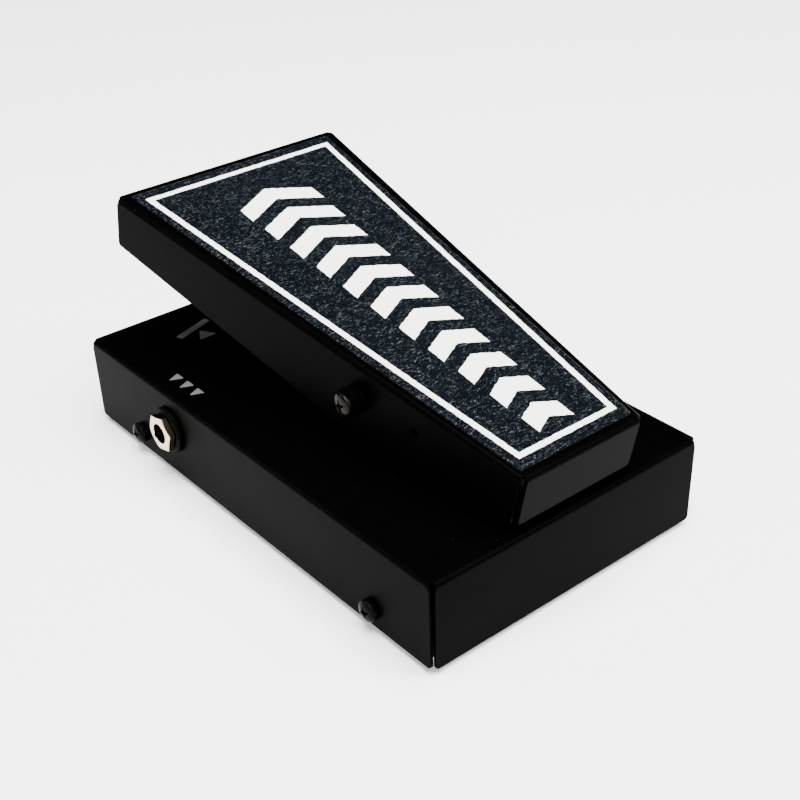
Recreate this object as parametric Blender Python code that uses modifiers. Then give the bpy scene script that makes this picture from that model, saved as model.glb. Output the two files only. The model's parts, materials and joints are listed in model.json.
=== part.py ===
"""Optical rocker pedal for a guitar, modelled at rest with its toe up.

Metres, +Z up, toe towards +Y, output jack towards -X. The origin is on the floor, under the middle of
the base shell. Run it with blender --background --python part.py or from the Text Editor.
"""

import math

import bmesh
import bpy
from mathutils import Matrix, Vector

MM = 0.001
ACROSS = Vector((1.0, 0.0, 0.0))
TOEWARDS = Vector((0.0, 1.0, 0.0))
UP = Vector((0.0, 0.0, 1.0))
GAP = 0.25 * MM  # between pieces that touch on the real pedal
DRILL_REACH = 5.0 * MM  # how far a hole's cutter runs to each side of the sheet
FINE = 24  # sides of round shapes that show
COARSE = 16  # sides of round shapes inside

# Base shell: a folded sheet with open corner slits
BASE_WIDTH = 102.6 * MM
BASE_LENGTH = 174.0 * MM
SHELL_FOOT = 2.3 * MM  # lower edge of the shell above the floor
DECK_Z = 31.0 * MM  # top of the deck
SHEET = 1.0 * MM
FOLD_RADIUS = 1.6 * MM  # outside radius of every fold in the thin sheet
FOLD_SEGMENTS = 4
NOTCH = FOLD_RADIUS + 0.15 * MM  # relief at the end of a fold
NECK = 0.3 * MM  # straight part of a flange between its fold and its shape
SHOULDER = 0.5 * MM  # from a wall's neck down to its full width
SLIT_TOP = 1.25 * MM  # a wall's end behind the next wall's outer face
SLIT_BOTTOM = 1.08 * MM
WALL_CORNER = 1.2 * MM
WALL_X = BASE_WIDTH / 2
WALL_Y = BASE_LENGTH / 2
DECK_UNDER = DECK_Z - SHEET

# Bottom cover and feet
PLATE_CLEARANCE = 0.3 * MM
PLATE_UNDER = SHELL_FOOT + 0.3 * MM
PLATE_X = WALL_X - SHEET - PLATE_CLEARANCE
PLATE_Y = WALL_Y - SHEET - PLATE_CLEARANCE
TAB_HALF = 7.0 * MM
TAB_HEIGHT = 9.5 * MM
TAB_CORNER = 2.0 * MM
FOOT_RADIUS = 6.5 * MM
FOOT_DRAFT = 0.3 * MM
FOOT_EDGE = 0.6 * MM
FOOT_X, FOOT_Y = 34.0 * MM, 66.0 * MM
STEM_RADIUS = 2.0 * MM
BARB_RADIUS = 2.9 * MM
BARB_HEIGHT = 1.6 * MM
BARB_TIP = 1.2 * MM

# Screws, as head radius, head height and shank radius
SIDE_SCREW = (3.4 * MM, 2.6 * MM, 1.6 * MM)
PIVOT_SCREW = (3.5 * MM, 1.9 * MM, 2.0 * MM)
INNER_SCREW = (2.8 * MM, 1.9 * MM, 1.5 * MM)
SIDE_SCREW_HOLE = 2.0 * MM
INNER_SCREW_HOLE = 1.8 * MM
SIDE_SCREW_LENGTH = 7.0 * MM
BRACKET_SCREW_LENGTH = 7.0 * MM
BOARD_SCREW_LENGTH = 6.0 * MM
HEAD_RIM = 0.5  # straight part of a head, as a share of its height
RECESS_ARM = 0.82  # cross recess, as shares of the head's radius and height
RECESS_BLADE = 0.4
RECESS_DEPTH = 0.75
RECESS_FLOOR = 0.35
RECESS_TURN = math.radians(20)
SCREW_TIP = 0.6  # flat end of a shank, as a share of its radius

# Screws through the long walls
SIDE_SCREW_Y = {"toe": 58.8 * MM, "heel": -61.3 * MM}
SIDE_SCREW_Z = SHELL_FOOT + 5.5 * MM

# Jacks and supply socket
JACK_Y = 39.5 * MM
JACK_Z = SHELL_FOOT + 15.6 * MM
JACK_BORE = 3.25 * MM
JACK_BORE_DEPTH = 20.0 * MM
BUSH_RADIUS = 4.5 * MM
COLLAR_RADIUS = 7.7 * MM
COLLAR_THICKNESS = 1.45 * MM
COLLAR_CHAMFER = 0.4 * MM
BUSH_ROOT = 2.0 * MM  # how far a bush reaches into its moulded body
NUT_FACE = 0.96  # flat face of a chamfered nut, as a share of its width across flats
JACK_NUT_FLATS = 11.0 * MM
JACK_NUT_HEIGHT = 2.1 * MM
JACK_NUT_TURN = math.radians(12)
NUT_LIP = 0.7 * MM  # the nut's front lip covers the end of the bush
NUT_LIP_BORE = 3.5 * MM
JACK_BODY = Vector((22.0, 18.0, 18.0)) * MM
SOCKET_X = 28.0 * MM
SOCKET_Z = SHELL_FOOT + 14.0 * MM
SOCKET_RADIUS = 3.9 * MM
SOCKET_BORE = 2.8 * MM
SOCKET_PIN = 1.0 * MM
SOCKET_BORE_DEPTH = 9.5 * MM
SOCKET_NUT_FLATS = 12.0 * MM
SOCKET_NUT_HEIGHT = 2.0 * MM
SOCKET_BODY = Vector((13.0, 12.0, 12.0)) * MM

# Hinge
PIVOT_Y = -30.6 * MM
PIVOT_Z = SHELL_FOOT + 49.65 * MM
REST_TILT = math.radians(11.2)
TRAVEL = math.radians(18.0)  # from heel down to toe down
BUSHING_RADIUS = 3.4 * MM
RUNNING_CLEARANCE = 0.1 * MM
SHANK_HOLE = PIVOT_SCREW[2] + GAP
EAR_CLEARANCE = 0.3 * MM
LOCKNUT_FLATS = 7.0 * MM
LOCKNUT_HEIGHT = 3.2 * MM
PIVOT_COLLAR_RADIUS = 4.4 * MM
PIVOT_COLLAR_THICKNESS = 3.4 * MM

# Treadle, in its own axes: Y along its length from the hinge, Z square to its top
TREADLE_TOP = 11.0 * MM
TREADLE_TOE = 107.0 * MM
TREADLE_HEEL = -58.2 * MM
TOE_HALF_WIDTH = 42.0 * MM
HEEL_HALF_WIDTH = 22.6 * MM
TOE_DEPTH = 17.0 * MM
HEEL_DEPTH = 16.8 * MM
SKIRT_DEPTH = 24.9 * MM  # at the hinge
TREADLE_SLITS = (1.5 * MM, 1.4 * MM)
SKIRT_CORNER = 1.2 * MM
SKIRT_APEX = 12.0 * MM
SIDE_HOLE = Vector((0.0, -21.4, 2.15)) * MM
SIDE_HOLE_RADIUS = 1.3 * MM
TREADLE_UNDER = TREADLE_TOP - SHEET

# Grip sheet
PAD_THICKNESS = 1.2 * MM
PAD_TOE = 102.6 * MM
PAD_HEEL = -55.6 * MM
PAD_TOE_HALF = 37.6 * MM
PAD_HEEL_HALF = 20.5 * MM
PAD_CORNER = 0.5 * MM
PAD_SHIFT = -0.9 * MM  # the sheet is laid a little left of the middle

# Hinge bracket
BRACKET_SHEET = 2.0 * MM
BRACKET_FOLD = 3.0 * MM
BRACKET_HALF_LENGTH = 9.0 * MM
EAR_RADIUS = 7.0 * MM
EAR_ROUNDNESS = 0.9
BRACKET_SCREWS = (15.0 * MM, 5.0 * MM)

# Shutter vane, in the treadle's axes
VANE_HEEL = 39.8 * MM
VANE_TOE = 55.8 * MM
VANE_DEPTHS = (43.6 * MM, 37.0 * MM)
VANE_FLANGE = 11.0 * MM
VANE_FOLD = SHEET + 0.4 * MM
VANE_CORNER = 2.0 * MM
VANE_SCREW_X = -6.0 * MM
VANE_SCREW_Y = {"heel": 44.0 * MM, "toe": 52.0 * MM}
SLOT_HALF_WIDTH = 1.8 * MM
SLOT_Y = (4.0 * MM, 33.0 * MM)

# Electronics
BOARD_UNDER = 7.0 * MM
BOARD_THICKNESS = 1.6 * MM
BOARD_TOP = BOARD_UNDER + BOARD_THICKNESS
BOARD_X = 26.0 * MM
BOARD_Y = (-12.0 * MM, 52.0 * MM)
STANDOFF_X = 22.0 * MM
STANDOFF_Y = (-8.0 * MM, 48.0 * MM)
STANDOFF_FLATS = 5.5 * MM
STANDOFF_BORE = 8.0 * MM
OPTO_Y = 16.0 * MM
OPTO_Z = 19.0 * MM
OPTO_SIZE = Vector((24.0, 14.0, 17.0)) * MM
OPTO_GAP = 4.4 * MM
OPTO_FLOOR = 3.0 * MM
OPTO_BORE = 2.8 * MM
EMITTER_LENGTH = 8.6 * MM
CELL_LENGTH = 3.0 * MM
CHIP = Vector((9.3, 6.4, 3.4)) * MM
CHIP_PLACE = Vector((-12.0, 38.0, 0.0)) * MM
CAN_RADIUS = 3.15 * MM
CAN_HEIGHT = 11.0 * MM
CAN_PLACES = (Vector((12.0, 38.0, 0.0)) * MM, Vector((-13.0, 0.0, 0.0)) * MM)
BATTERY = Vector((48.5, 26.5, 17.5)) * MM
BATTERY_Y = -58.0 * MM
BATTERY_CORNER = 1.5 * MM
SNAP = Vector((3.5, 22.0, 13.0)) * MM
SNAP_CORNER = 0.8 * MM

# Rubber stops
BUFFER_RADIUS = 6.5 * MM
BUFFER_CROWN = 1.6 * MM
BUFFER_STUD = 1.95 * MM
STUD_CLEARANCE = 0.35 * MM
STUD_DEPTH = 5.0 * MM
TOE_BUFFER_Y = 66.0 * MM
HEEL_BUFFER_Y = -70.0 * MM

LEAD_RADIUS = 0.9 * MM
LEAD_HEIGHT = 1.8 * MM  # axis of a lead above the board that it reaches


# ---------------------------------------------------------------- scene and materials


def clear_scene():
    for obj in list(bpy.data.objects):
        bpy.data.objects.remove(obj, do_unlink=True)


def new_collection(name):
    collection = bpy.data.collections.new(name)
    bpy.context.scene.collection.children.link(collection)
    return collection


def new_material(name, colour, roughness, metallic):
    material = bpy.data.materials.new(name)
    material.use_nodes = True
    shader = material.node_tree.nodes["Principled BSDF"]
    shader.inputs["Base Color"].default_value = (*colour, 1.0)
    shader.inputs["Roughness"].default_value = roughness
    shader.inputs["Metallic"].default_value = metallic
    return material


def new_empty(name, location, tilt=0.0):
    empty = bpy.data.objects.new(name, None)
    empty.location = location
    empty.rotation_euler = (tilt, 0.0, 0.0)
    empty.empty_display_size = 0.01
    PARTS.objects.link(empty)
    return empty


def new_object(name, bm, material, parent, smooth=True):
    """Turns bm into a named object in the parts collection."""
    mesh = bpy.data.meshes.new(name)
    bm.to_mesh(mesh)
    bm.free()
    mesh.materials.append(material)
    if smooth:
        mesh.shade_smooth()
        mesh.set_sharp_from_angle(angle=math.radians(35))
    obj = bpy.data.objects.new(name, mesh)
    obj.parent = parent
    PARTS.objects.link(obj)
    return obj


def make_cutter(obj):
    PARTS.objects.unlink(obj)
    CUTTERS.objects.link(obj)
    obj.hide_render = True
    obj.display_type = "WIRE"
    return obj


def combine(obj, other, operation):
    """Cuts, joins or intersects obj with other, which becomes a helper."""
    if other.name not in CUTTERS.objects:
        make_cutter(other)
    boolean = obj.modifiers.new(other.name, "BOOLEAN")
    boolean.operation = operation
    boolean.object = other
    return obj


def cut(obj, *cutters):
    for cutter in cutters:
        combine(obj, cutter, "DIFFERENCE")
    return obj


# ---------------------------------------------------------------- shape helpers


def facing(direction, origin):
    """A matrix that puts local +Z along direction, at origin."""
    turn = Vector((0, 0, 1)).rotation_difference(Vector(direction).normalized())
    return Matrix.Translation(origin) @ turn.to_matrix().to_4x4()


def block(name, size, centre, material, parent, bevel=0.0):
    bm = bmesh.new()
    bmesh.ops.create_cube(bm, size=1.0)
    bmesh.ops.scale(bm, vec=size, verts=bm.verts)
    obj = new_object(name, bm, material, parent)
    obj.location = centre
    if bevel:
        rounding = obj.modifiers.new("rounding", "BEVEL")
        rounding.width = bevel
        rounding.segments = 2
    return obj


def rod(name, radius, start, end, material, parent, sides=COARSE):
    """A cylinder from start to end, or a prism when sides is small."""
    start, end = Vector(start), Vector(end)
    bm = bmesh.new()
    bmesh.ops.create_cone(
        bm, cap_ends=True, segments=sides, radius1=radius, radius2=radius, depth=(end - start).length
    )
    obj = new_object(name, bm, material, parent)
    obj.matrix_local = facing(end - start, (start + end) / 2)
    return obj


def turned(name, profile, origin, direction, material, parent, sides=COARSE):
    """A solid of revolution: profile holds (radius, height) points from top to bottom."""
    bm = bmesh.new()
    points = [bm.verts.new((radius, 0.0, height)) for radius, height in profile]
    for upper, lower in zip(points, points[1:]):
        bm.edges.new((upper, lower))
    obj = new_object(name, bm, material, parent, smooth=False)
    obj.matrix_local = facing(direction, origin)
    screw = obj.modifiers.new("turn", "SCREW")
    screw.steps = sides
    screw.render_steps = sides
    screw.use_merge_vertices = True
    screw.merge_threshold = 1e-5
    screw.use_smooth_shade = True
    return obj


def ring_profile(inner, outer, height, chamfer=0.0):
    """A closed washer profile, standing on height 0."""
    top = height - chamfer
    edge = outer - chamfer
    points = [(inner, height), (edge, height)]
    if chamfer:
        points.append((outer, top))
    return points + [(outer, 0.0), (inner, 0.0), (inner, height)]


def dome_points(radius, base, height, count=3):
    """Points of a crown from its tip down to its rim, as an elliptical arc."""
    angles = [math.pi / 2 * step / count for step in range(count + 1)]
    return [(radius * math.sin(a), base + height * math.cos(a)) for a in angles]


def hexagon_prism(name, flats, start, end, material, parent):
    return rod(name, flats / math.sqrt(3), start, end, material, parent, sides=6)


def fillet(points, radii, segments=3):
    """A closed outline whose corners are rounded: radii holds one radius for each point."""
    outline = []
    count = len(points)
    for index, (point, radius) in enumerate(zip(points, radii)):
        corner = Vector(point)
        to_last = (Vector(points[index - 1]) - corner).normalized()
        to_next = (Vector(points[(index + 1) % count]) - corner).normalized()
        if radius == 0.0:
            outline.append(corner)
            continue
        half = to_last.angle(to_next) / 2
        centre = corner + (to_last + to_next).normalized() * radius / math.sin(half)
        first = corner + to_last * radius / math.tan(half) - centre
        last = corner + to_next * radius / math.tan(half) - centre
        turn = first.angle_signed(last)
        for step in range(segments + 1):
            angle = -turn * step / segments
            outline.append(centre + Matrix.Rotation(angle, 2) @ first)
    return outline


def flat_plate(name, outline, under, thickness, material, parent):
    """A sheet of the outline's shape, from height under upwards."""
    bm = bmesh.new()
    bm.faces.new([bm.verts.new((x, y, under)) for x, y in outline])
    bm.normal_update()
    if bm.faces[:][0].normal.z < 0:
        bmesh.ops.reverse_faces(bm, faces=bm.faces)
    obj = new_object(name, bm, material, parent)
    solidify = obj.modifiers.new("sheet", "SOLIDIFY")
    solidify.thickness = thickness
    solidify.offset = 1.0
    return obj


def corner_directions(corners, index):
    """Unit vectors from a corner to the one before it and the one after it."""
    corner = corners[index]
    before = (corners[index - 1] - corner).normalized()
    after = (corners[(index + 1) % len(corners)] - corner).normalized()
    return before, after


def fold_line_end(corners, index):
    """How far from this corner a fold starts, when both of the corner's sides have folds."""
    before, after = corner_directions(corners, index)
    return NOTCH / math.tan(before.angle(after) / 2)


def flat_corner(corners, index, inset_before, inset_after):
    """Where the flat's edges meet, each moved in from its side's outer plane."""
    before, after = corner_directions(corners, index)
    return corners[index] + (before * inset_after + after * inset_before) / math.sin(before.angle(after))


def folded_sheet(name, corners, flanges, top, sheet, fold, material, parent):
    """A flat sheet with flanges folded down.

    corners are the outer planes' corners, counter-clockwise. flanges holds, for each side, a list of
    outlines: points (distance along the side, depth below top) from the fold's start round to its end.
    """
    corners = [Vector(corner) for corner in corners]
    notch = fold + NOTCH - FOLD_RADIUS
    insets = [notch if outlines else 0.0 for outlines in flanges]
    bm = bmesh.new()
    flat = []
    walls = []
    for index, corner in enumerate(corners):
        _, along = corner_directions(corners, index)
        inwards = Vector((-along.y, along.x)) * notch
        flat.append(bm.verts.new((*flat_corner(corners, index, insets[index - 1], insets[index]), top)))
        for outline in flanges[index]:
            start = corner + along * outline[0][0]
            end = corner + along * outline[-1][0]
            tongue = [bm.verts.new((*place, top)) for place in (start + inwards, start, end, end + inwards)]
            flat += tongue
            places = [(corner + along * distance, top - depth) for distance, depth in outline]
            wall = [bm.verts.new((*place, height)) for place, height in places]
            walls.append([tongue[1], *wall, tongue[2]])
    bm.faces.new(flat)
    for wall in walls:
        bm.faces.new(wall)
    bmesh.ops.remove_doubles(bm, verts=bm.verts, dist=1e-6)
    straight = [vert for vert in bm.verts if len(vert.link_edges) == 2 and vert.calc_edge_angle() < 1e-3]
    bmesh.ops.dissolve_verts(bm, verts=straight)
    bmesh.ops.recalc_face_normals(bm, faces=bm.faces)
    if max(bm.faces, key=lambda face: face.calc_center_median().z).normal.z < 0:
        bmesh.ops.reverse_faces(bm, faces=bm.faces)
    obj = new_object(name, bm, material, parent)
    bend = obj.modifiers.new("folds", "BEVEL")
    bend.limit_method = "ANGLE"
    bend.width = fold
    bend.segments = FOLD_SEGMENTS
    thicken = obj.modifiers.new("sheet", "SOLIDIFY")
    thicken.thickness = sheet
    thicken.offset = -1.0
    thicken.use_even_offset = True
    return obj


def full_wall(corners, index, depths, bottom, slits=(SLIT_TOP, SLIT_BOTTOM)):
    """The outline of a wall over a whole side: depths at its start and end, bottom for points between."""
    corners = [Vector(corner) for corner in corners]
    following = (index + 1) % len(corners)
    length = (corners[following] - corners[index]).length
    start = fold_line_end(corners, index)
    end = length - fold_line_end(corners, following)
    neck = FOLD_RADIUS + NECK
    shoulder = neck + SHOULDER
    points = [(start, neck), (slits[0], shoulder), (slits[1], depths[0])]
    points += bottom
    points += [(length - slits[1], depths[1]), (length - slits[0], shoulder), (end, neck)]
    return points


def rounded_bottom(outline, radii, segments=4):
    """Rounds the lowest corners of a wall outline, one radius for each point from the third on."""
    keep = 2
    every = [0.0] * keep + list(radii) + [0.0] * keep
    return [tuple(point) for point in fillet(outline, every, segments)]


def smooth_route(points, steps=4):
    """Points of a Catmull-Rom curve through points, with its ends held."""
    points = [Vector(point) for point in points]
    padded = [points[0] * 2 - points[1], *points, points[-1] * 2 - points[-2]]
    route = []
    for a, b, c, d in zip(padded, padded[1:], padded[2:], padded[3:]):
        for step in range(steps):
            t = step / steps
            linear = (c - a) * t
            square = (a * 2 - b * 5 + c * 4 - d) * t**2
            cube = (b * 3 - a - c * 3 + d) * t**3
            route.append(b + (linear + square + cube) / 2)
    return [*route, points[-1]]


def lead(name, points):
    """An inner wire along a smooth route through points given in millimetres."""
    curve = bpy.data.curves.new(name, "CURVE")
    curve.dimensions = "3D"
    curve.bevel_depth = LEAD_RADIUS
    curve.bevel_resolution = 2
    curve.use_fill_caps = True
    curve.materials.append(WIRE_SLEEVE)
    route = smooth_route([Vector(point) * MM for point in points])
    spline = curve.splines.new("POLY")
    spline.points.add(len(route) - 1)
    for point, place in zip(spline.points, route):
        point.co = (*place, 1.0)
    obj = bpy.data.objects.new(name, curve)
    obj.parent = BASE
    PARTS.objects.link(obj)
    return obj


def cross_recess(name, arm, depth, origin, direction, parent):
    """Cutters for a cross recess: two blades that narrow with depth."""
    blades = []
    for number in (0, 1):
        bm = bmesh.new()
        bmesh.ops.create_cube(bm, size=1.0)
        bmesh.ops.scale(bm, vec=(arm * 2, arm * RECESS_BLADE, depth * 2), verts=bm.verts)
        for vertex in bm.verts:
            if vertex.co.z < 0:
                vertex.co.x *= RECESS_FLOOR
        turn = Matrix.Rotation(math.pi / 2 * number + RECESS_TURN, 3, "Z")
        bmesh.ops.rotate(bm, matrix=turn, verts=bm.verts)
        blade = new_object(f"{name}_blade_{number + 1}", bm, STEEL, parent)
        blade.matrix_local = facing(direction, origin)
        blades.append(make_cutter(blade))
    return blades


def screw_profile(size, length, crown_steps):
    """Half section of a pan-head screw, from the crown down to the tip of its shank."""
    head, height, shank = size
    rim = height * HEAD_RIM
    tip = shank * SCREW_TIP
    profile = dome_points(head, rim, height - rim, crown_steps)
    profile += [(head, 0.0), (shank, 0.0), (shank, shank - tip - length)]
    return profile + [(tip, -length), (0.0, -length)]


def cross_screw(name, size, length, seat, direction, material, parent):
    """A pan-head screw with a cross recess. Its head rests on seat and points along direction."""
    head, height, _ = size
    profile = screw_profile(size, length, 3)
    screw = turned(name, profile, seat, direction, material, parent, FINE)
    crown = Vector(seat) + Vector(direction) * height
    arm, depth = head * RECESS_ARM, height * RECESS_DEPTH
    return cut(screw, *cross_recess(name, arm, depth, crown, direction, parent))


def inner_screw(name, length, seat, direction, parent):
    """A small plain-headed screw that can't be seen from outside."""
    return turned(name, screw_profile(INNER_SCREW, length, 2), seat, direction, STEEL, parent)


def drill(obj, radius, place, axis, reach, sides=COARSE):
    """Cuts a round hole through obj. place is on its axis, in the axes of obj's parent."""
    along = axis * reach
    place = Vector(place)
    return cut(obj, rod(f"{obj.name}_hole", radius, place - along, place + along, STEEL, obj.parent, sides))


# ---------------------------------------------------------------- base


def rectangle(half_x, half_y):
    return [(-half_x, -half_y), (half_x, -half_y), (half_x, half_y), (-half_x, half_y)]


def cut_deck(shell):
    """The vane slot, the bracket's screw holes and the stud holes of the rubber stops."""
    slot_size = (2 * SLOT_HALF_WIDTH, SLOT_Y[1] - SLOT_Y[0], 2 * DRILL_REACH)
    cut(shell, block("deck_slot", slot_size, (0, sum(SLOT_Y) / 2, DECK_Z), STEEL, BASE))
    for x, y in bracket_screw_places():
        drill(shell, INNER_SCREW_HOLE, (x, y, DECK_Z), UP, DRILL_REACH)
    for y in (TOE_BUFFER_Y, HEEL_BUFFER_Y):
        drill(shell, BUFFER_STUD + STUD_CLEARANCE, (0, y, DECK_Z), UP, DRILL_REACH)


def cut_walls(shell):
    """The holes of the jacks, the side screws and the supply socket."""
    for side in (-1, 1):
        wall_x = side * WALL_X
        drill(shell, BUSH_RADIUS + GAP, (wall_x, JACK_Y, JACK_Z), ACROSS, DRILL_REACH, FINE)
        for y in SIDE_SCREW_Y.values():
            drill(shell, SIDE_SCREW_HOLE, (wall_x, y, SIDE_SCREW_Z), ACROSS, DRILL_REACH)
    drill(shell, SOCKET_RADIUS + GAP, (SOCKET_X, WALL_Y, SOCKET_Z), TOEWARDS, DRILL_REACH, FINE)


def make_base_shell():
    corners = rectangle(WALL_X, WALL_Y)
    height = DECK_Z - SHELL_FOOT
    flanges = []
    for index in range(4):
        wall = full_wall(corners, index, (height, height), [])
        flanges.append([rounded_bottom(wall, (WALL_CORNER, WALL_CORNER), 3)])
    shell = folded_sheet(
        "base_shell", corners, flanges, DECK_Z, SHEET, FOLD_RADIUS, BLACK_PAINT, BASE
    )
    cut_deck(shell)
    cut_walls(shell)
    return shell


def plate_tab(centre):
    """Outline of one upright tab of the bottom cover, which a side screw holds."""
    start, end = centre - TAB_HALF, centre + TAB_HALF
    neck = FOLD_RADIUS + NECK
    tab = [(start, neck), (start, TAB_HEIGHT), (end, TAB_HEIGHT), (end, neck)]
    return [tuple(point) for point in fillet(tab, (0, TAB_CORNER, TAB_CORNER, 0))]


def make_base_plate():
    """The bottom cover: a folded sheet turned over, with two tabs on each long side."""
    corners = rectangle(PLATE_X, PLATE_Y)
    flanges = [[], [], [], []]
    for side, sign in ((1, 1), (3, -1)):
        for y in sorted(SIDE_SCREW_Y.values(), reverse=sign < 0):
            flanges[side].append(plate_tab(PLATE_Y + sign * y))
    plate = folded_sheet("base_plate", corners, flanges, 0.0, SHEET, FOLD_RADIUS, ZINC, BASE)
    plate.rotation_euler = (0, math.pi, 0)
    plate.location = (0, 0, PLATE_UNDER)
    for side in (-1, 1):
        for y in SIDE_SCREW_Y.values():
            drill(plate, SIDE_SCREW_HOLE, (side * PLATE_X, y, SIDE_SCREW_Z), ACROSS, DRILL_REACH)
        for y in (-FOOT_Y, FOOT_Y):
            drill(plate, STEM_RADIUS + GAP, (side * FOOT_X, y, PLATE_UNDER), UP, DRILL_REACH)
    return plate


def make_feet():
    """Rubber feet whose barbed stems are pulled through the bottom cover."""
    body = PLATE_UNDER - GAP
    above = PLATE_UNDER + SHEET + GAP
    barb_top = above + BARB_HEIGHT
    profile = [(0.0, barb_top), (BARB_TIP, barb_top), (BARB_RADIUS, above)]
    profile += [(STEM_RADIUS, above), (STEM_RADIUS, body), (FOOT_RADIUS, body)]
    sole = FOOT_RADIUS - FOOT_DRAFT
    profile += [(sole, FOOT_EDGE), (sole - FOOT_EDGE, 0.0), (0.0, 0.0)]
    for end, y in (("toe", FOOT_Y), ("heel", -FOOT_Y)):
        for side, x in (("left", -FOOT_X), ("right", FOOT_X)):
            turned(f"foot_{end}_{side}", profile, (x, y, 0), UP, RUBBER, BASE)


def make_side_screws():
    for side, out in (("left", -ACROSS), ("right", ACROSS)):
        for end, y in SIDE_SCREW_Y.items():
            seat = out * (WALL_X + GAP) + Vector((0, y, SIDE_SCREW_Z))
            name = f"side_screw_{end}_{side}"
            cross_screw(name, SIDE_SCREW, SIDE_SCREW_LENGTH, seat, out, BLACK_NICKEL, BASE)


# ---------------------------------------------------------------- sockets


def chamfered_nut(name, flats, height, bore, origin, direction, turn=0.0):
    """A hexagon nut whose outer corners are turned off at an angle. turn is where its thread stopped."""
    corner = flats / math.sqrt(3)
    face = flats / 2 * NUT_FACE
    nut = hexagon_prism(name, flats, origin, origin + direction * height, NICKEL, BASE)
    nut.data.transform(Matrix.Rotation(turn, 4, "Z"))
    clear = corner + GAP
    chamfer = [(0.0, height + GAP), (face, height + GAP), (face, height)]
    chamfer += [(clear, height - (clear - face) / 2), (clear, -MM), (0.0, -MM)]
    limit = turned(f"{name}_chamfer", chamfer, origin, direction, NICKEL, BASE, FINE)
    combine(nut, limit, "INTERSECT")
    return drill(nut, bore, origin + direction * height / 2, direction, height, FINE)


def make_jack(name, side):
    """A panel jack: moulded body inside the wall, bush through it, collar and lipped nut outside."""
    out = ACROSS * side
    wall = Vector((side * WALL_X, JACK_Y, JACK_Z))
    inner = wall - out * (SHEET + GAP)
    nut_seat = wall + out * (COLLAR_THICKNESS + 2 * GAP)
    lip_under = nut_seat + out * (JACK_NUT_HEIGHT - NUT_LIP)
    tip = lip_under - out * GAP
    body = block(name, JACK_BODY, inner - out * JACK_BODY.x / 2, BLACK_PLASTIC, BASE)
    bush = rod(f"{name}_bush", BUSH_RADIUS, inner - out * BUSH_ROOT, tip, BLACK_PLASTIC, BASE, FINE)
    combine(body, bush, "UNION")
    bore_end = tip - out * JACK_BORE_DEPTH
    cut(body, rod(f"{name}_bore", JACK_BORE, bore_end, tip + out * MM, BLACK_PLASTIC, BASE, FINE))
    collar = ring_profile(BUSH_RADIUS + GAP, COLLAR_RADIUS, COLLAR_THICKNESS, COLLAR_CHAMFER)
    turned(f"{name}_washer", collar, wall + out * GAP, out, BLACK_PLASTIC, BASE, FINE)
    nut = chamfered_nut(
        f"{name}_nut", JACK_NUT_FLATS, JACK_NUT_HEIGHT, NUT_LIP_BORE, nut_seat, out, JACK_NUT_TURN
    )
    thread = rod(
        f"{name}_thread", BUSH_RADIUS + GAP, nut_seat - out * MM, lip_under, NICKEL, BASE, FINE
    )
    cut(nut, thread)


def make_power_socket():
    """A barrel socket with a centre pin, through the toe wall."""
    wall = Vector((SOCKET_X, WALL_Y, SOCKET_Z))
    inner = wall - TOEWARDS * (SHEET + GAP)
    tip = wall + TOEWARDS * (SOCKET_NUT_HEIGHT + 2 * GAP)
    body_centre = inner - TOEWARDS * SOCKET_BODY.y / 2
    body = block("power_socket", SOCKET_BODY, body_centre, BLACK_PLASTIC, BASE)
    bush_root = inner - TOEWARDS * BUSH_ROOT
    bush = rod("socket_bush", SOCKET_RADIUS, bush_root, tip, BLACK_PLASTIC, BASE, FINE)
    combine(body, bush, "UNION")
    bore = ring_profile(SOCKET_PIN, SOCKET_BORE, SOCKET_BORE_DEPTH + MM)
    bore_end = tip - TOEWARDS * SOCKET_BORE_DEPTH
    cut(body, turned("socket_bore", bore, bore_end, TOEWARDS, BLACK_PLASTIC, BASE))
    chamfered_nut(
        "power_socket_nut",
        SOCKET_NUT_FLATS,
        SOCKET_NUT_HEIGHT,
        SOCKET_RADIUS + GAP,
        wall + TOEWARDS * GAP,
        TOEWARDS,
    )


# ---------------------------------------------------------------- hinge


def skirt_half_width(along):
    """Outer half width of the treadle at this distance from the hinge."""
    share = (along - TREADLE_HEEL) / (TREADLE_TOE - TREADLE_HEEL)
    return HEEL_HALF_WIDTH + (TOE_HALF_WIDTH - HEEL_HALF_WIDTH) * share


def ear_x():
    """Outer face of the bracket's ears, just inside the tapered skirts."""
    narrowest = skirt_half_width(-BRACKET_HALF_LENGTH)
    return narrowest - SHEET - EAR_CLEARANCE


def collar_x():
    """Inner face of the hinge collars, just outside the tapered skirts."""
    return skirt_half_width(PIVOT_COLLAR_RADIUS) + EAR_CLEARANCE


def bracket_screw_places():
    x, y = BRACKET_SCREWS
    return [(sx * x, PIVOT_Y + sy * y) for sx in (-1, 1) for sy in (-1, 1)]


def make_pivot_bracket():
    """A U bracket on the deck: a folded sheet turned over, so its flanges stand up as ears."""
    half = ear_x()
    under = DECK_Z + GAP
    rise = PIVOT_Z - under
    foot, top = BRACKET_HALF_LENGTH, EAR_RADIUS
    neck = BRACKET_FOLD + NECK
    ear = [(0.0, neck), (foot - top, rise + top), (foot + top, rise + top), (2 * foot, neck)]
    crown = top * EAR_ROUNDNESS
    outline = [tuple(point) for point in fillet(ear, (0, crown, crown, 0), 6)]
    bracket = folded_sheet(
        "pivot_bracket",
        rectangle(half, foot),
        [[], [outline], [], [outline]],
        0.0,
        BRACKET_SHEET,
        BRACKET_FOLD,
        BLACK_PAINT,
        BASE,
    )
    bracket.rotation_euler = (0, math.pi, 0)
    bracket.location = (0, PIVOT_Y, under)
    drill(bracket, SHANK_HOLE, (0, PIVOT_Y, PIVOT_Z), ACROSS, half + DRILL_REACH)
    for x, y in bracket_screw_places():
        drill(bracket, INNER_SCREW_HOLE, (x, y, under), UP, DRILL_REACH)
    return bracket


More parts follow.
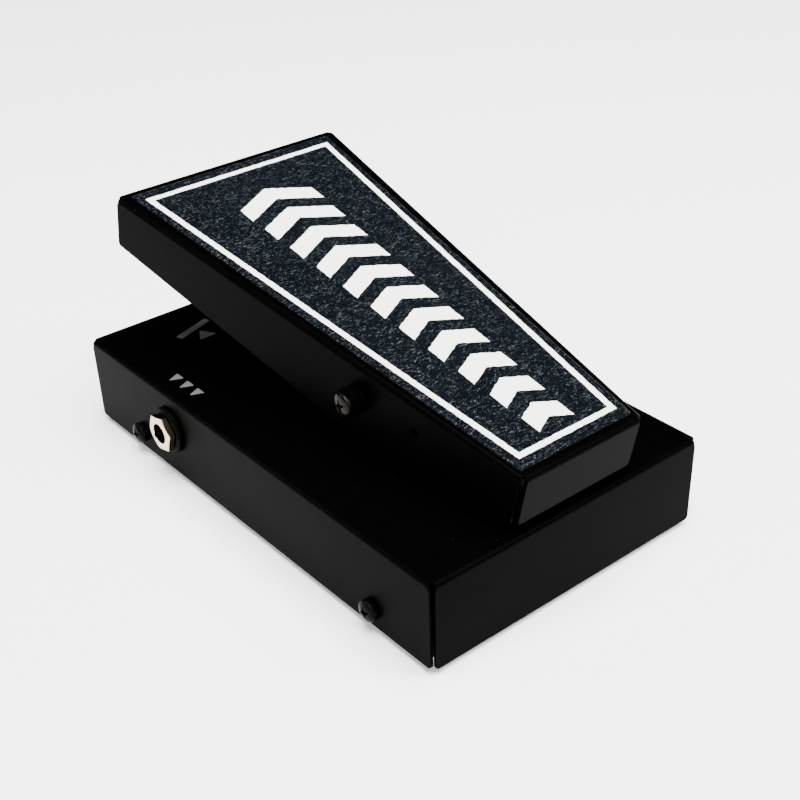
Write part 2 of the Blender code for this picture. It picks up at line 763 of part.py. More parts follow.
def make_bracket_screws():
    seat_z = DECK_Z + 2 * GAP + BRACKET_SHEET
    for number, (x, y) in enumerate(bracket_screw_places(), 1):
        inner_screw(f"bracket_screw_{number}", BRACKET_SCREW_LENGTH, (x, y, seat_z), UP, BASE)


def make_pivot(side_name, side):
    """Screw, collar, bushing and lock nut of one end of the hinge."""
    out = ACROSS * side
    axis = Vector((0, PIVOT_Y, PIVOT_Z))
    ear = ear_x()
    collar = collar_x()
    bushing = ring_profile(SHANK_HOLE, BUSHING_RADIUS, collar - ear - 2 * GAP)
    turned(f"pivot_bushing_{side_name}", bushing, axis + out * (ear + GAP), out, NYLON, BASE, FINE)
    washer = ring_profile(SHANK_HOLE, PIVOT_COLLAR_RADIUS, PIVOT_COLLAR_THICKNESS, COLLAR_CHAMFER)
    turned(f"pivot_washer_{side_name}", washer, axis + out * collar, out, BLACK_PLASTIC, BASE, FINE)
    seat = collar + PIVOT_COLLAR_THICKNESS + GAP
    nut_outer = ear - BRACKET_SHEET - GAP
    nut_inner = nut_outer - LOCKNUT_HEIGHT
    length = seat - nut_inner + MM
    screw_name = f"pivot_screw_{side_name}"
    cross_screw(screw_name, PIVOT_SCREW, length, axis + out * seat, out, BLACK_NICKEL, BASE)
    start, end = axis + out * nut_inner, axis + out * nut_outer
    nut = hexagon_prism(f"pivot_locknut_{side_name}", LOCKNUT_FLATS, start, end, ZINC, BASE)
    drill(nut, SHANK_HOLE, start, out, DRILL_REACH)


# ---------------------------------------------------------------- treadle


def treadle_corners():
    return [
        (-HEEL_HALF_WIDTH, TREADLE_HEEL),
        (HEEL_HALF_WIDTH, TREADLE_HEEL),
        (TOE_HALF_WIDTH, TREADLE_TOE),
        (-TOE_HALF_WIDTH, TREADLE_TOE),
    ]


def make_treadle_shell():
    """A tapered tray: the side skirts are deepest at the hinge and shallower towards both ends."""
    corners = treadle_corners()
    side_length = (Vector(corners[2]) - Vector(corners[1])).length
    hinge = side_length * -TREADLE_HEEL / (TREADLE_TOE - TREADLE_HEEL)
    toe_edge, heel_edge = (TOE_DEPTH, TOE_DEPTH), (HEEL_DEPTH, HEEL_DEPTH)
    slopes = (HEEL_DEPTH, TOE_DEPTH)
    heel = full_wall(corners, 0, heel_edge, [], TREADLE_SLITS)
    right = full_wall(corners, 1, slopes, [(hinge, SKIRT_DEPTH)], TREADLE_SLITS)
    toe = full_wall(corners, 2, toe_edge, [], TREADLE_SLITS)
    left = full_wall(corners, 3, slopes[::-1], [(side_length - hinge, SKIRT_DEPTH)], TREADLE_SLITS)
    ends = (SKIRT_CORNER, SKIRT_CORNER)
    skirts = (SKIRT_CORNER, SKIRT_APEX, SKIRT_CORNER)
    walls = zip((heel, right, toe, left), (ends, skirts, ends, skirts))
    shell = folded_sheet(
        "treadle_shell",
        corners,
        [[rounded_bottom(wall, radii)] for wall, radii in walls],
        TREADLE_TOP,
        SHEET,
        FOLD_RADIUS,
        BLACK_PAINT,
        TREADLE,
    )
    drill(shell, BUSHING_RADIUS + RUNNING_CLEARANCE, (0, 0, 0), ACROSS, TOE_HALF_WIDTH, FINE)
    drill(shell, SIDE_HOLE_RADIUS, SIDE_HOLE, ACROSS, TOE_HALF_WIDTH)
    for y in VANE_SCREW_Y.values():
        drill(shell, INNER_SCREW_HOLE, (VANE_SCREW_X, y, TREADLE_TOP), UP, DRILL_REACH)
    return shell


def make_tread_pad():
    outline = [
        (PAD_SHIFT - PAD_HEEL_HALF, PAD_HEEL),
        (PAD_SHIFT + PAD_HEEL_HALF, PAD_HEEL),
        (PAD_SHIFT + PAD_TOE_HALF, PAD_TOE),
        (PAD_SHIFT - PAD_TOE_HALF, PAD_TOE),
    ]
    rounded = fillet(outline, [PAD_CORNER] * 4, 4)
    return flat_plate("tread_pad", rounded, TREADLE_TOP + GAP, PAD_THICKNESS, GRIP_SHEET, TREADLE)


def make_shutter_vane():
    """An L of thin sheet: its flange is screwed under the treadle, its blade hangs in the middle."""
    blade_x = SHEET / 2
    length = VANE_TOE - VANE_HEEL
    neck = VANE_FOLD + NECK
    blade = [(0.0, neck), (0.0, VANE_DEPTHS[0]), (length, VANE_DEPTHS[1]), (length, neck)]
    outline = [tuple(point) for point in fillet(blade, (0, VANE_CORNER, VANE_CORNER, 0))]
    corners = [
        (-VANE_FLANGE, VANE_HEEL),
        (blade_x, VANE_HEEL),
        (blade_x, VANE_TOE),
        (-VANE_FLANGE, VANE_TOE),
    ]
    vane_top = TREADLE_UNDER - GAP
    vane = folded_sheet(
        "shutter_vane",
        corners,
        [[], [outline], [], []],
        vane_top,
        SHEET,
        VANE_FOLD,
        STEEL,
        TREADLE,
    )
    screw_length = 2 * SHEET + GAP
    for end, y in VANE_SCREW_Y.items():
        drill(vane, INNER_SCREW_HOLE, (VANE_SCREW_X, y, vane_top), UP, DRILL_REACH)
        seat = (VANE_SCREW_X, y, vane_top - SHEET - GAP)
        inner_screw(f"vane_screw_{end}", screw_length, seat, -UP, TREADLE)
    return vane


# ---------------------------------------------------------------- inside the base


def make_board():
    """The circuit board, hung under the deck on four standoffs."""
    size = (2 * BOARD_X, BOARD_Y[1] - BOARD_Y[0], BOARD_THICKNESS)
    centre = (0, sum(BOARD_Y) / 2, BOARD_UNDER + BOARD_THICKNESS / 2)
    board = block("circuit_board", size, centre, BOARD_GREEN, BASE)
    places = [(x, y) for x in (-STANDOFF_X, STANDOFF_X) for y in STANDOFF_Y]
    for number, (x, y) in enumerate(places, 1):
        drill(board, INNER_SCREW_HOLE, (x, y, BOARD_TOP), UP, DRILL_REACH)
        low = (x, y, BOARD_TOP + GAP)
        high = (x, y, DECK_UNDER - GAP)
        standoff = hexagon_prism(f"board_standoff_{number}", STANDOFF_FLATS, low, high, BRASS, BASE)
        drill(standoff, INNER_SCREW_HOLE, low, UP, STANDOFF_BORE)
        seat = (x, y, BOARD_UNDER - GAP)
        inner_screw(f"board_screw_{number}", BOARD_SCREW_LENGTH, seat, -UP, BASE)
    return board


def make_light_path():
    """A slotted block on the board with an emitter in one leg and a light sensor in the other."""
    centre = Vector((0, OPTO_Y, BOARD_TOP + GAP + OPTO_SIZE.z / 2))
    housing = block("opto_block", OPTO_SIZE, centre, BLACK_PLASTIC, BASE)
    slot_size = (OPTO_GAP, OPTO_SIZE.y * 2, OPTO_SIZE.z)
    cut(housing, block("opto_slot", slot_size, centre + UP * OPTO_FLOOR, STEEL, BASE))
    drill(housing, OPTO_BORE, (0, OPTO_Y, OPTO_Z), ACROSS, OPTO_SIZE.x)
    body = OPTO_BORE - GAP
    beam_end = OPTO_GAP / 2 + 2 * GAP
    emitter = [*dome_points(body, EMITTER_LENGTH - body, body), (body, 0.0), (0.0, 0.0)]
    emitter_foot = (-beam_end - EMITTER_LENGTH, OPTO_Y, OPTO_Z)
    turned("emitter_led", emitter, emitter_foot, ACROSS, CLEAR_PLASTIC, BASE)
    edge = body - GAP
    cell = [(0.0, CELL_LENGTH), (edge, CELL_LENGTH), (body, CELL_LENGTH - GAP), (body, 0.0), (0.0, 0.0)]
    turned("photocell", cell, (beam_end + CELL_LENGTH, OPTO_Y, OPTO_Z), -ACROSS, CLEAR_PLASTIC, BASE)


def make_components():
    """The board's larger parts: one chip and two electrolytic cans."""
    seat = BOARD_TOP + GAP
    block("amplifier_chip", CHIP, CHIP_PLACE + UP * (seat + CHIP.z / 2), BLACK_PLASTIC, BASE)
    edge = CAN_RADIUS - GAP
    can = [(0.0, CAN_HEIGHT), (edge, CAN_HEIGHT), (CAN_RADIUS, CAN_HEIGHT - GAP)]
    can += [(CAN_RADIUS, 0.0), (0.0, 0.0)]
    for number, place in enumerate(CAN_PLACES, 1):
        turned(f"capacitor_{number}", can, place + UP * seat, UP, ALUMINIUM, BASE)


def make_battery():
    """A 9 V block battery lying on the bottom cover, with its snap connector."""
    centre = Vector((0, BATTERY_Y, PLATE_UNDER + SHEET + GAP + BATTERY.z / 2))
    block("battery", BATTERY, centre, ALUMINIUM, BASE, bevel=BATTERY_CORNER)
    snap_centre = centre + ACROSS * (BATTERY.x / 2 + GAP + SNAP.x / 2)
    block("battery_snap", SNAP, snap_centre, BLACK_PLASTIC, BASE, bevel=SNAP_CORNER)


def stop_height(y, tilt):
    """Height above the deck of a crowned stop that the treadle just reaches at this tilt."""
    slope = math.tan(tilt)
    treadle_z = PIVOT_Z + (y - PIVOT_Y) * slope + TREADLE_UNDER / math.cos(tilt)
    crown_reach = math.hypot(BUFFER_CROWN, slope * BUFFER_RADIUS)
    return treadle_z - DECK_Z - GAP - (crown_reach - BUFFER_CROWN)


def make_buffer(name, y, tilt):
    """A rubber stop with a crowned top, whose stud goes through the deck."""
    height = stop_height(y, tilt)
    profile = dome_points(BUFFER_RADIUS, height - BUFFER_CROWN, BUFFER_CROWN)
    profile += [(BUFFER_RADIUS, GAP), (BUFFER_STUD, GAP), (BUFFER_STUD, -STUD_DEPTH), (0.0, -STUD_DEPTH)]
    turned(name, profile, (0, y, DECK_Z), UP, RUBBER, BASE)


def make_leads():
    """Inner wires. Each starts and ends just clear of the piece that it serves."""
    low = (BOARD_TOP + LEAD_HEIGHT) / MM
    jack_lead = [
        (26.9, 36.0, 20.0),
        (24.5, 34.0, 19.6),
        (23.0, 31.0, 15.0),
        (22.0, 29.0, low),
        (17.0, 27.0, low),
    ]
    power_lead = [
        (28.0, 72.6, 17.0),
        (28.0, 69.0, 16.5),
        (22.0, 60.0, 12.0),
        (13.0, 53.0, low),
        (7.0, 46.0, low),
    ]
    battery_lead = [
        (29.3, -58.0, 13.0),
        (32.0, -56.0, 12.6),
        (32.0, -38.0, 9.5),
        (24.0, -20.0, low),
        (12.0, -8.0, low),
    ]
    lead("input_lead", jack_lead)
    lead("output_lead", [(-x, y, z) for x, y, z in jack_lead])
    lead("power_lead", power_lead)
    lead("battery_lead", battery_lead)


def main():
    make_base_shell()
    make_base_plate()
    make_feet()
    make_side_screws()
    make_jack("output_jack", -1)
    make_jack("input_jack", 1)
    make_power_socket()
    make_pivot_bracket()
    make_bracket_screws()
    make_pivot("left", -1)
    make_pivot("right", 1)
    make_treadle_shell()
    make_tread_pad()
    make_shutter_vane()
    make_board()
    make_light_path()
    make_components()
    make_battery()
    make_buffer("toe_buffer", TOE_BUFFER_Y, REST_TILT - TRAVEL)
    make_buffer("heel_buffer", HEEL_BUFFER_Y, REST_TILT)
    make_leads()


clear_scene()
PARTS = new_collection("rocker_pedal")
CUTTERS = new_collection("cutters")
BASE = new_empty("base", (0, 0, 0))
TREADLE = new_empty("treadle_hinge", (0, PIVOT_Y, PIVOT_Z), REST_TILT)
BLACK_PAINT = new_material("black_powder_coat", (0.012, 0.012, 0.013), 0.5, 0.0)
BLACK_PLASTIC = new_material("black_plastic", (0.02, 0.02, 0.02), 0.4, 0.0)
BLACK_NICKEL = new_material("black_nickel", (0.08, 0.075, 0.07), 0.25, 1.0)
NICKEL = new_material("nickel", (0.75, 0.72, 0.68), 0.2, 1.0)
ZINC = new_material("zinc_plate", (0.55, 0.56, 0.58), 0.35, 1.0)
STEEL = new_material("steel", (0.5, 0.5, 0.5), 0.35, 1.0)
BRASS = new_material("brass", (0.7, 0.5, 0.2), 0.3, 1.0)
ALUMINIUM = new_material("aluminium", (0.7, 0.7, 0.72), 0.4, 1.0)
RUBBER = new_material("rubber", (0.015, 0.015, 0.015), 0.8, 0.0)
NYLON = new_material("nylon", (0.02, 0.02, 0.02), 0.5, 0.0)
GRIP_SHEET = new_material("grip_sheet", (0.03, 0.04, 0.05), 0.7, 0.0)
BOARD_GREEN = new_material("circuit_board_green", (0.02, 0.15, 0.06), 0.4, 0.0)
CLEAR_PLASTIC = new_material("clear_plastic", (0.8, 0.8, 0.8), 0.1, 0.0)
WIRE_SLEEVE = new_material("wire_sleeve", (0.4, 0.02, 0.02), 0.5, 0.0)
main()
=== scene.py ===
"""Looks of the optical rocker pedal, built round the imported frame.

Lengths are metres, +Z is up and the toe is towards +Y. Colours are linear.
"""

import json
import math

import bmesh
import bpy
from mathutils import Matrix, Vector, noise


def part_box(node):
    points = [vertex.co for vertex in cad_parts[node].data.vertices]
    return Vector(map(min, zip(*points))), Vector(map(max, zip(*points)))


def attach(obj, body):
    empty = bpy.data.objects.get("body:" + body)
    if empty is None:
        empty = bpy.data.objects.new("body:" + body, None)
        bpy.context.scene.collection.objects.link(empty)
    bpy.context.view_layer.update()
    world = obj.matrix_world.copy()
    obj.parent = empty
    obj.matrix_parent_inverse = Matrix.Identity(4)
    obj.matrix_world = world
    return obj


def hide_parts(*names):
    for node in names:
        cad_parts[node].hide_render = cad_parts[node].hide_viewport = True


MM = 0.001
ACROSS = Vector((1.0, 0.0, 0.0))
TOEWARDS = Vector((0.0, 1.0, 0.0))
UP = Vector((0.0, 0.0, 1.0))

# Nodes that come in sets
CORNER_NAMES = [f"{end}_{side}" for end in ("toe", "heel") for side in ("left", "right")]
SIDE_SCREWS = [f"side_screw_{name}" for name in CORNER_NAMES]
FEET = [f"foot_{name}" for name in CORNER_NAMES]
BUFFERS = ("toe_buffer", "heel_buffer")
JACKS = ("output_jack", "input_jack")
BRACKET_SCREWS = [f"bracket_screw_{number}" for number in range(1, 5)]

# Sheet metal, as in the CAD
SHEET = 1.0 * MM
FOLD_RADIUS = 1.6 * MM
FOLD_SEGMENTS = 8
NOTCH_MARGIN = 0.15 * MM  # how far the corner relief reaches past a fold
NECK = 0.3 * MM
SHOULDER = 0.5 * MM  # below the neck, where a corner slit reaches its full width
CUT_EDGE = 0.12 * MM  # rounding of the sheet's cut edges
CUT_EDGE_ANGLE = math.radians(60)
SHELL_FOOT = 2.3 * MM
DECK_Z = 31.0 * MM
BASE_SLITS = (1.25 * MM, 1.08 * MM)  # half widths of a slit at its shoulder and at its foot
WALL_CORNER = 1.2 * MM
SLOT_HALF_WIDTH = 1.8 * MM
SLOT_Y = (4.0 * MM, 33.0 * MM)

# Holes in the case, by radius, and how far their cutters reach each way
JACK_HOLE = 4.9 * MM
SIDE_SCREW_HOLE = 2.0 * MM
STUD_HOLE = 2.3 * MM
HOLE_REACH = 4.0 * MM

# Treadle, in its own axes: Y along its length from the hinge, Z square to its top
REST_TILT = math.radians(11.2)
TREADLE_TOP = 11.0 * MM
TREADLE_TOE = 107.0 * MM
TREADLE_HEEL = -58.2 * MM
TOE_HALF_WIDTH = 42.0 * MM
HEEL_HALF_WIDTH = 22.6 * MM
TOE_DEPTH = 17.0 * MM
HEEL_DEPTH = 16.8 * MM
SKIRT_DEPTH = 24.9 * MM
SKIRT_CORNER = 1.2 * MM
SKIRT_APEX = 12.0 * MM
TREADLE_SLITS = (1.5 * MM, 1.4 * MM)
PIVOT_HOLE = 3.5 * MM
SIDE_HOLE = Vector((0.0, -21.4, 2.15)) * MM
SIDE_HOLE_RADIUS = 1.3 * MM

# Grip sheet and its print
PAD_TOP = 12.45 * MM
PAD_UNDER = 11.25 * MM
PAD_TOE = 102.6 * MM
PAD_HEEL = -55.6 * MM
PAD_TOE_HALF = 37.6 * MM
PAD_HEEL_HALF = 20.5 * MM
PAD_CORNER = 0.5 * MM
PAD_SHIFT = -0.9 * MM  # the sheet is laid a little left of the middle
PAD_RAGGED = 0.16 * MM  # how far the cut edge wanders
PAD_RAGGED_WIDTH = 1.2 * MM  # how far inside the edge that fades out
PAD_RAGGED_SIZE = 1.3 * MM
PAD_ROLL = 0.25 * MM  # how far the sheet drops at its edge
PAD_ROLL_WIDTH = 0.8 * MM
PAD_ROWS = 320
PAD_COLUMNS = 132
PAD_WALL = 0.5 * MM  # the cut edge is black from this far under the top
GRAIN_DEPTH = 0.26 * MM
GRAIN_STRETCH = (0.62, 1.5)  # the grain's frequency across and along: its ridges lie across
GRAIN_SEED = 7  # noise_vector takes its offsets from the clock when it has no seed
PRINT_BLUR = 0.12 * MM
PRINT_WANDER = 0.54 * MM  # how far the edges of the print wander
BORDER_WIDTH = 1.85 * MM
BORDER_TOE = 98.7 * MM
BORDER_HEEL = -52.25 * MM
BORDER_TOE_HALF = 34.9 * MM
BORDER_HEEL_HALF = 18.15 * MM
CHEVRON_HEEL = -44.5 * MM
CHEVRON_PITCH = 12.3 * MM
CHEVRON_COUNT = 11
CHEVRON_SHARE = 0.56  # inked part of each step
CHEVRON_SLOPE = 0.5
CHEVRON_START = 0.01  # of each step: where its soft edge lies
CHEVRON_HALF = (6.5 * MM, 13.5 * MM)

# Deck print
INK_FILM = 0.05 * MM
INK_LIFT = 0.02 * MM
PICTOGRAM_PLACE = Vector((-21.0, 67.0)) * MM
PICTOGRAM_TILT = math.radians(18)
PICTOGRAM_BAR = ((-7.4, 1.4), (7.4, 1.4), (7.4, 4.0), (-7.4, 4.0))  # in millimetres
PICTOGRAM_WEDGE = ((-3.4, -5.6), (3.4, -5.6), (0.0, 0.2))
PICTOGRAM_CORNER = 0.5 * MM
ARROW_LENGTH = 4.4 * MM
ARROW_HALF = 2.0 * MM
ARROW_CORNER = 0.3 * MM
ARROW_PITCH = 6.0 * MM
ARROW_X = 44.1 * MM

ROUND = 64  # sides of turned pieces

# Screws through sheet, as head radius and height, and shares of them
SIDE_SCREW = (3.4 * MM, 2.6 * MM)
PIVOT_SCREW = (3.5 * MM, 1.9 * MM)
INNER_SCREW = (2.8 * MM, 1.9 * MM)
HEAD_RIM = 0.5
HEAD_UNDERSIDE = 0.97
HEAD_UNDERCUT = 0.12
SHANK = 0.46
SHANK_TIP = 0.6  # shares of the shank's radius from here
SHANK_TAPER = 0.4

# Cross recess: shares of the head, then of the recess itself
RECESS_ARM = 0.78
RECESS_DEPTH = 0.7
RECESS_TURN = math.radians(20)
BLADE_WIDTH = 0.34
BLADE_TAPER = (0.38, 0.7)
RECESS_CORE = ((0.0, 1.0), (0.42, 1.0), (0.36, -0.4), (0.0, -1.15))

# Jacks and supply socket
JACK_BUSH = 4.75 * MM
JACK_COLLAR = (7.7 * MM, 0.45 * MM)  # radius and bevelled edge
JACK_NUT_FLATS = 11.0 * MM
JACK_NUT_TURN = math.radians(12)
SOCKET_BUSH = 4.15 * MM
SOCKET_NUT_FLATS = 12.0 * MM
NUT_FACE = 0.96  # flat face, as a share of the width across flats
NUT_SLOPE = 0.28  # fall of the turned corners
NUT_CLEARANCE = 0.25 * MM
NUT_ROUNDING = 0.15 * MM
NUT_LIP = (3.4 * MM, 0.7 * MM)  # bore and thickness of a jack nut's front lip
KEY_TURN = math.radians(-35)  # slot in the lip, measured from the toe
KEY_SIZE = Vector((2.0, 1.3, 1.4)) * MM
COLLAR_ROUNDING = 0.15 * MM
COLLAR_RIM_ROUNDING = 0.1 * MM

# Feet, pushed through the base plate from below
FOOT_TIP = 1.2 * MM
FOOT_BARB = (2.9 * MM, 3.85 * MM)
FOOT_STEM = (2.0 * MM, 3.8 * MM)
FOOT_BODY = 2.35 * MM
FOOT_TAPER = 0.3 * MM
FOOT_SOLE_INSET = 0.9 * MM
FOOT_HOLLOW = (2.6 * MM, 1.9 * MM, 0.9 * MM)  # outer radius, inner radius and depth

# Rubber stops on the deck
BUFFER_GAP = 0.25 * MM
BUFFER_CROWN = 1.6 * MM
BUFFER_STUD = 1.95 * MM
BUFFER_GROOVE = 0.35 * MM
BUFFER_GROOVE_Z = (2.0 * MM, 1.7 * MM, 1.2 * MM, 0.9 * MM)  # its four corners, above the underside

# Hinge bracket
BRACKET_SHEET = 2.0 * MM
BRACKET_FOLD = 3.0 * MM
EAR_TOP = 7.0 * MM  # the ear's top is this far above the hinge and this wide each way
EAR_ROUNDING = 0.9 * EAR_TOP
PIVOT_BORE = 2.25 * MM
PIVOT_COLLAR = (4.4 * MM, 0.5 * MM)
BRACKET_SCREW_HOLE = 1.8 * MM
BRACKET_SCREW_REACH = 6.0 * MM

GLASS_WEAVE = 4200.0  # of the circuit board, in radians per metre

# Stage
FLOOR_SIZE = 5.0
FLOOR_GAP = 0.05 * MM
SURROUND = 0.03
BACKDROP = 80.0
LIGHTS = (  # name, place, size, power in watts and colour of lamps that face the origin
    ("overhead", (0.0, -0.4, 1.7), (1.5, 1.5), 190.0, (1.0, 1.0, 1.0)),
    ("fold_glint_left", (-0.9, 1.02, 0.84), (0.25, 0.25), 12.0, (1.0, 1.0, 1.0)),
    ("fold_glint_heel", (0.84, -0.9, 1.02), (0.25, 0.25), 12.0, (1.0, 1.0, 1.0)),
    ("left_front", (-1.2, -1.2, 1.0), (1.2, 0.9), 20.0, (1.0, 0.95, 0.9)),
)
CAMERA_PLACE = Vector((-0.21912, -0.28562, 0.24527))
CAMERA_AZIMUTH = math.radians(-39.38)
CAMERA_ELEVATION = math.radians(34.34)
CAMERA_ROLL = math.radians(-1.52)
CAMERA_LENS = 60.34
CAMERA_SHIFT = (-0.01716, 0.0841)
CAMERA_NEAR = 0.01


# ---------------------------------------------------------------- node helpers


class Field:
    """A number or a vector that varies over a surface. Arithmetic on it adds math nodes."""

    def __init__(self, tree, socket):
        self.tree = tree
        self.socket = socket

    def math(self, operation, *others, clamp=False):
        node = self.tree.nodes.new("ShaderNodeMath")
        node.operation = operation
        node.use_clamp = clamp
        for place, value in enumerate((self, *others)):
            plug(self.tree, node.inputs[place], value)
        return Field(self.tree, node.outputs[0])

    def __add__(self, other):
        return self.math("ADD", other)

    def __sub__(self, other):
        return self.math("SUBTRACT", other)

    def __mul__(self, other):
        return self.math("MULTIPLY", other)

    def __truediv__(self, other):
        return self.math("DIVIDE", other)

    def above(self, edge, blur):
        """0 below edge, 1 above it, with a soft step of width blur."""
        return ((self - edge) / blur + 0.5).math("ADD", 0.0, clamp=True)

    def below(self, edge, blur):
        return ((self * -1.0 + edge) / blur + 0.5).math("ADD", 0.0, clamp=True)

    def spread(self, low, high):
        """Maps 0…1 to low…high."""
        return self * (high - low) + low


def plug(tree, socket, value):
    if isinstance(value, Field):
        tree.links.new(value.socket, socket)
    else:
        socket.default_value = value


class Surface:
    """A new material with one Principled shader, and short calls for its textures."""

    def __init__(self, name, **settings):
        self.material = bpy.data.materials.new(name)
        self.material.use_nodes = True
        self.tree = self.material.node_tree
        self.shader = self.tree.nodes["Principled BSDF"]
        self.set(**settings)
        coordinates = self.tree.nodes.new("ShaderNodeTexCoord")
        self.place = Field(self.tree, coordinates.outputs["Object"])

    def set(self, **settings):
        for name, value in settings.items():
            plug(self.tree, self.shader.inputs[name.replace("_", " ")], value)

    def new(self, kind, output, **settings):
        node = self.tree.nodes.new(kind)
        for name, value in settings.items():
            if hasattr(node, name):
                setattr(node, name, value)
            else:
                plug(self.tree, node.inputs[name.replace("_", " ")], value)
        return Field(self.tree, node.outputs[output])

    def stretched(self, x, y, z):
        """The place, scaled along each axis."""
        return self.new("ShaderNodeMapping", "Vector", Vector=self.place, Scale=(x, y, z))

    def noise(self, size, detail=2.0, place=None, distortion=0.0):
        """0…1 noise whose features are about size across."""
        return self.new(
            "ShaderNodeTexNoise",
            "Fac",
            Vector=place or self.place,
            Scale=1.0 / size,
            Detail=detail,
            Distortion=distortion,
        )

    def cells(self, size, output="Distance", feature="F1"):
        return self.new("ShaderNodeTexVoronoi", output, feature=feature, Vector=self.place, Scale=1.0 / size)

    def axes(self):
        node = self.tree.nodes.new("ShaderNodeSeparateXYZ")
        plug(self.tree, node.inputs[0], self.place)
        return [Field(self.tree, output) for output in node.outputs]

    def blend(self, share, first, second):
        node = self.tree.nodes.new("ShaderNodeMix")
        node.data_type = "RGBA"
        plug(self.tree, node.inputs["Factor"], share)
        for socket, colour in zip((node.inputs[6], node.inputs[7]), (first, second)):
            plug(self.tree, socket, colour if isinstance(colour, Field) else (*colour, 1.0))
        return Field(self.tree, node.outputs[2])

    def bump(self, height, depth):
        node = self.tree.nodes.new("ShaderNodeBump")
        node.inputs["Distance"].default_value = depth
        plug(self.tree, node.inputs["Height"], height)
        self.tree.links.new(node.outputs["Normal"], self.shader.inputs["Normal"])


# ---------------------------------------------------------------- materials


def powder_coat():
    """Near-black satin coat: fine orange peel, slight unevenness, a few specks of dust."""
    look = Surface("black_powder_coat", IOR=1.046)
    peel = look.noise(0.45 * MM, 3.0)
    uneven = look.noise(4.0 * MM)
    handled = look.noise(38.0 * MM, 4.0)
    specks = look.cells(5.5 * MM).below(0.022, 0.012)
    coat = look.blend(uneven, (0.0002, 0.0002, 0.0002), (0.0006, 0.00058, 0.00056))
    look.set(Base_Color=look.blend(specks, coat, (0.02, 0.019, 0.018)))
    look.set(Roughness=handled.spread(0.26, 0.38) + peel * 0.05)
    look.bump(peel + uneven * 0.6 + specks * 0.7, 0.007 * MM)
    return look.material


def moulded_plastic(name, low, high, ior, roughness):
    """Moulded plastic: faint flow marks and a fine grain."""
    look = Surface(name, IOR=ior)
    grain = look.noise(0.25 * MM, 3.0)
    flow = look.noise(6.0 * MM, 3.0)
    look.set(Base_Color=look.blend(flow, low, high))
    look.set(Roughness=flow.spread(roughness, roughness + 0.12))
    look.bump(grain + flow, 0.008 * MM)
    return look.material


def plated(name, low, high, roughness, brush):
    """Plated or bare metal with fine lines across it and soft tarnish."""
    look = Surface(name, Metallic=1.0)
    tarnish = look.noise(2.2 * MM, 4.0)
    lines = look.noise(0.12 * MM, 2.0, look.stretched(1.0, 0.12, 1.0))
    look.set(Base_Color=look.blend(tarnish, low, high))
    look.set(Roughness=(tarnish * 0.7 + lines * 0.3).spread(*roughness))
    look.bump(lines + tarnish, brush)
    return look.material


def black_nickel(name, ior):
    """Dark plate with a warm sheen, worn a little paler in patches."""
    look = Surface(name, IOR=ior, Specular_Tint=(1.0, 0.82, 0.68, 1.0))
    worn = look.noise(1.3 * MM, 4.0)
    lines = look.noise(0.12 * MM, 2.0)
    look.set(Base_Color=look.blend(worn.above(0.62, 0.2), (0.0012, 0.0011, 0.001), (0.006, 0.0052, 0.0045)))
    look.set(Roughness=worn.spread(0.16, 0.3))
    look.bump(lines + worn, 0.003 * MM)
    return look.material


def zinc_plate():
    """Bright zinc on rolled steel: rolling lines with a faint crystalline bloom."""
    look = Surface("zinc_plate", Metallic=1.0)
    bloom = look.cells(3.5 * MM, "Color")
    lines = look.noise(0.15 * MM, 3.0, look.stretched(1.0, 0.05, 1.0))
    stain = look.noise(22.0 * MM, 5.0)
    tone = look.new("ShaderNodeRGBToBW", "Val", Color=bloom)
    look.set(Base_Color=look.blend(tone * 0.5 + stain * 0.5, (0.42, 0.43, 0.45), (0.62, 0.63, 0.64)))
    look.set(Roughness=stain.spread(0.3, 0.5) + lines * 0.08)
    look.bump(lines + tone, 0.006 * MM)
    return look.material


def rubber():
    look = Surface("moulded_rubber", IOR=1.3)
    grain = look.noise(0.35 * MM, 4.0)
    dust = look.noise(7.0 * MM, 5.0)
    look.set(Base_Color=look.blend(dust, (0.004, 0.004, 0.004), (0.012, 0.0115, 0.011)))
    look.set(Roughness=dust.spread(0.62, 0.85))
    look.bump(grain, 0.02 * MM)
    return look.material


def nylon():
    """Black bearing nylon with a faint flow pattern."""
    look = Surface("bearing_nylon", IOR=1.08)
    cloud = look.noise(2.0 * MM, 3.0)
    look.set(Base_Color=look.blend(cloud, (0.0005, 0.0005, 0.0005), (0.001, 0.001, 0.001)))
    look.set(Roughness=cloud.spread(0.5, 0.7))
    look.bump(look.noise(0.2 * MM), 0.006 * MM)
    return look.material


def circuit_board():
    """Green mask with darker copper runs under it, and the weave of the glass."""
    look = Surface("circuit_board_green")
    x, y, _ = look.axes()
    weave = (x * GLASS_WEAVE).math("SINE") * (y * GLASS_WEAVE).math("SINE")
    runs = look.cells(3.2 * MM, feature="DISTANCE_TO_EDGE").below(0.09, 0.03)
    look.set(Base_Color=look.blend(runs, (0.012, 0.09, 0.035), (0.03, 0.19, 0.07)))
    look.set(Roughness=look.noise(5.0 * MM).spread(0.28, 0.42))
    look.bump(runs + weave * 0.15, 0.03 * MM)
    return look.material


def clear_lens():
    look = Surface("clear_lens", Base_Color=(0.85, 0.87, 0.9, 1.0), Transmission_Weight=0.85)
    haze = look.noise(1.5 * MM, 3.0)
    look.set(Roughness=haze.spread(0.04, 0.16))
    look.bump(haze, 0.004 * MM)
    return look.material


def wire_sleeve():
    look = Surface("wire_sleeve")
    scuff = look.noise(2.5 * MM, 4.0)
    look.set(Base_Color=look.blend(scuff, (0.28, 0.012, 0.012), (0.42, 0.03, 0.025)))
    look.set(Roughness=scuff.spread(0.32, 0.5))
    look.bump(look.noise(0.3 * MM), 0.008 * MM)
    return look.material


